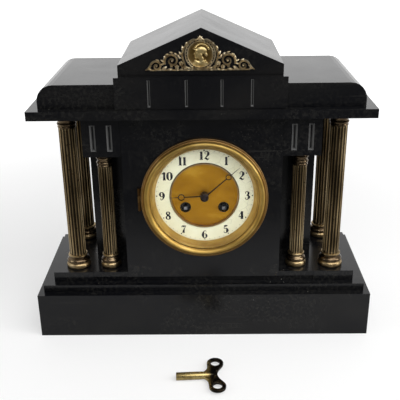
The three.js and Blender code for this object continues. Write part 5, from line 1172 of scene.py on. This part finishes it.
barrel = bmesh.new()
rings = [
    [barrel.verts.new((-KEY_LENGTH * (1 - share), y, z)) for y, z in round_points(48, KEY_RADIUS * radius)]
    for radius, share in BARREL_PROFILE
]
mouth, bottom = [
    [barrel.verts.new((along, SOCKET_HALF * a, SOCKET_HALF * b)) for a, b in ((1, 1), (-1, 1), (-1, -1), (1, -1))]
    for along in (-KEY_LENGTH, SOCKET_DEPTH - KEY_LENGTH)
]
add_skin(barrel, rings)
add_skin(barrel, [mouth, bottom])
barrel.faces.new(rings[-1])
barrel.faces.new(bottom)
# The flat end, between the barrel's round edge and the square socket.
for k in range(4):
    fan = [rings[0][(6 + 12 * k + step) % 48] for step in range(13)]
    barrel.faces.new([*fan, mouth[(k + 1) % 4], mouth[k]])
key = join_pieces("key_turned_and_filed", [as_piece("barrel", barrel, 40), bow])
key.data.transform(Matrix.Translation(KEY_PLACE) @ Matrix.Rotation(KEY_TURN, 4, "Z"))

key_metal = finish("key_brass_and_black", (0.24, 0.17, 0.08), 0.32, 1.0)
rubbed = shades(key_metal, grain(key_metal, 110, 5), [
    (0.3, (0.3, 0.22, 0.085)), (0.6, (0.46, 0.36, 0.15)), (0.8, (0.74, 0.64, 0.37)),
])
blackened = shades(key_metal, grain(key_metal, 160, 5), [
    (0.35, (0.012, 0.01, 0.008)), (0.6, (0.04, 0.032, 0.022)), (0.78, (0.2, 0.15, 0.08)),
])
bow_start = KEY_PLACE[0] - 0.009
on_bow = share_along(key_metal, "X", bow_start, bow_start + 0.004)
colour_by(key_metal, blended(key_metal, on_bow, rubbed, blackened))
dull_by(key_metal, grain(key_metal, 300, 4), 0.2, 0.42)
relief(key_metal, grain(key_metal, 900, 4), 0.2, 0.0002)
key.data.materials.append(key_metal)
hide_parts("winding_key")
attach(key, "key")


# Studio. A pale floor and backdrop in one, white where the light is full, and soft boxes above the front, at both
# sides and low behind, whose light the polished tops of the stones mirror; the room in front is dim.
FLOOR_REACH = 8.0
FLOOR_SHADE = 0.52
TABLE_EDGE = -0.42
TABLE_FRONT = -0.2
floor_mesh = bmesh.new()
corners = [(-1, -1), (1, -1), (1, 1), (-1, 1)]
floor_mesh.faces.new([floor_mesh.verts.new((x * FLOOR_REACH, y * FLOOR_REACH, 0)) for x, y in corners])
floor = as_piece("studio_floor", floor_mesh)


def eased(material, value, start, end, first, last):
    """Value that goes from first to last while the given one goes from start to end."""
    return node(material, "ShaderNodeMapRange", {
        "Value": value, "From Min": start, "From Max": end, "To Min": first, "To Max": last,
    }, interpolation_type="SMOOTHSTEP").outputs["Result"]


def worked(material, operation, first, second):
    return node(material, "ShaderNodeMath", {0: first, 1: second}, operation=operation).outputs[0]


floor_paint = bpy.data.materials.new("pale_floor")
floor_paint.use_nodes = True
floor_paint.node_tree.nodes.clear()
seen = node(floor_paint, "ShaderNodeLightPath").outputs
away = node(floor_paint, "ShaderNodeVectorMath", {0: place_on(floor_paint)}, operation="LENGTH")
backdrop = eased(floor_paint, away.outputs["Value"], 0.35, 1.3, 0.45, 1.0)
back = along_axis(floor_paint, place_on(floor_paint), "Y")
near_light = eased(floor_paint, back, TABLE_EDGE, TABLE_FRONT, 0.06, 0.2)
table_seen = worked(floor_paint, "ADD", near_light, eased(floor_paint, back, -0.05, 0.4, 0.0, 0.8))
light = worked(floor_paint, "MULTIPLY", worked(floor_paint, "MULTIPLY", backdrop, table_seen), seen["Is Glossy Ray"])
for ray in ("Is Camera Ray", "Is Transmission Ray"):
    light = worked(floor_paint, "MAXIMUM", light, worked(floor_paint, "MULTIPLY", backdrop, seen[ray]))
table_shade = eased(floor_paint, back, TABLE_EDGE, TABLE_FRONT, 0.08, FLOOR_SHADE)
matt = node(floor_paint, "ShaderNodeBsdfDiffuse", {
    "Color": blended(floor_paint, seen["Is Glossy Ray"], (FLOOR_SHADE, FLOOR_SHADE, FLOOR_SHADE), table_shade),
})
glow = node(floor_paint, "ShaderNodeEmission", {"Strength": light})
whole = node(floor_paint, "ShaderNodeAddShader", {0: matt.outputs[0], 1: glow.outputs[0]})
node(floor_paint, "ShaderNodeOutputMaterial", {"Surface": whole.outputs[0]})
floor.data.materials.append(floor_paint)


def soft_box(name, place, target, width, height, power):
    lamp = bpy.data.lights.new(name, "AREA")
    lamp.shape = "RECTANGLE"
    lamp.size = width
    lamp.size_y = height
    lamp.energy = power
    box = put_in_scene(name, lamp)
    box.location = place
    box.rotation_euler = (Vector(target) - Vector(place)).to_track_quat("-Z", "Y").to_euler()


soft_box("soft_box_above", (0.5, -1.0, 1.45), (0, -0.1, 0.15), 2.2, 1.4, 28.5)
soft_box("soft_box_right", (1.6, -0.5, 0.7), (0, 0, 0.15), 0.7, 1.0, 9)
soft_box("soft_box_left", (-1.7, -0.7, 0.9), (0, 0, 0.15), 0.6, 1.0, 3.5)
soft_box("soft_box_behind", (0, 1.9, 0.7), (0, 0, 0.3), 3.2, 1.1, 6)

world = bpy.data.worlds.new("studio_white")
bpy.context.scene.world = world
world.use_nodes = True
back = along_axis(world, node(world, "ShaderNodeTexCoord").outputs["Generated"], "Y")
seen = node(world, "ShaderNodeLightPath").outputs
feed(world.node_tree.nodes["Background"], {
    "Color": (1, 1, 1, 1),
    "Strength": worked(world, "MAXIMUM", eased(world, back, -0.7, 0.7, 0.18, 0.62), seen["Is Camera Ray"]),
})

# The camera stands where the photograph was taken from, as fitted to the straight edges of the case, and its focal
# length is a share of the picture's width.
YAW, PITCH, ROLL = radians(-0.6804), radians(23.108), radians(0.7286)
CAMERA_PLACE = (0.005486, -0.744659, 0.453904)
FOCAL_SHARE = 687.58 / 400
lens = bpy.data.cameras.new("photo_camera")
lens.sensor_width = 36
lens.lens = FOCAL_SHARE * lens.sensor_width
lens.clip_start = 0.01
camera = put_in_scene("photo_camera", lens)
turn = Matrix.Rotation(-YAW, 4, "Z") @ Matrix.Rotation(pi / 2 - PITCH, 4, "X") @ Matrix.Rotation(-ROLL, 4, "Z")
camera.matrix_world = Matrix.Translation(CAMERA_PLACE) @ turn
bpy.context.scene.camera = camera
bpy.context.scene.view_settings.view_transform = "Standard"
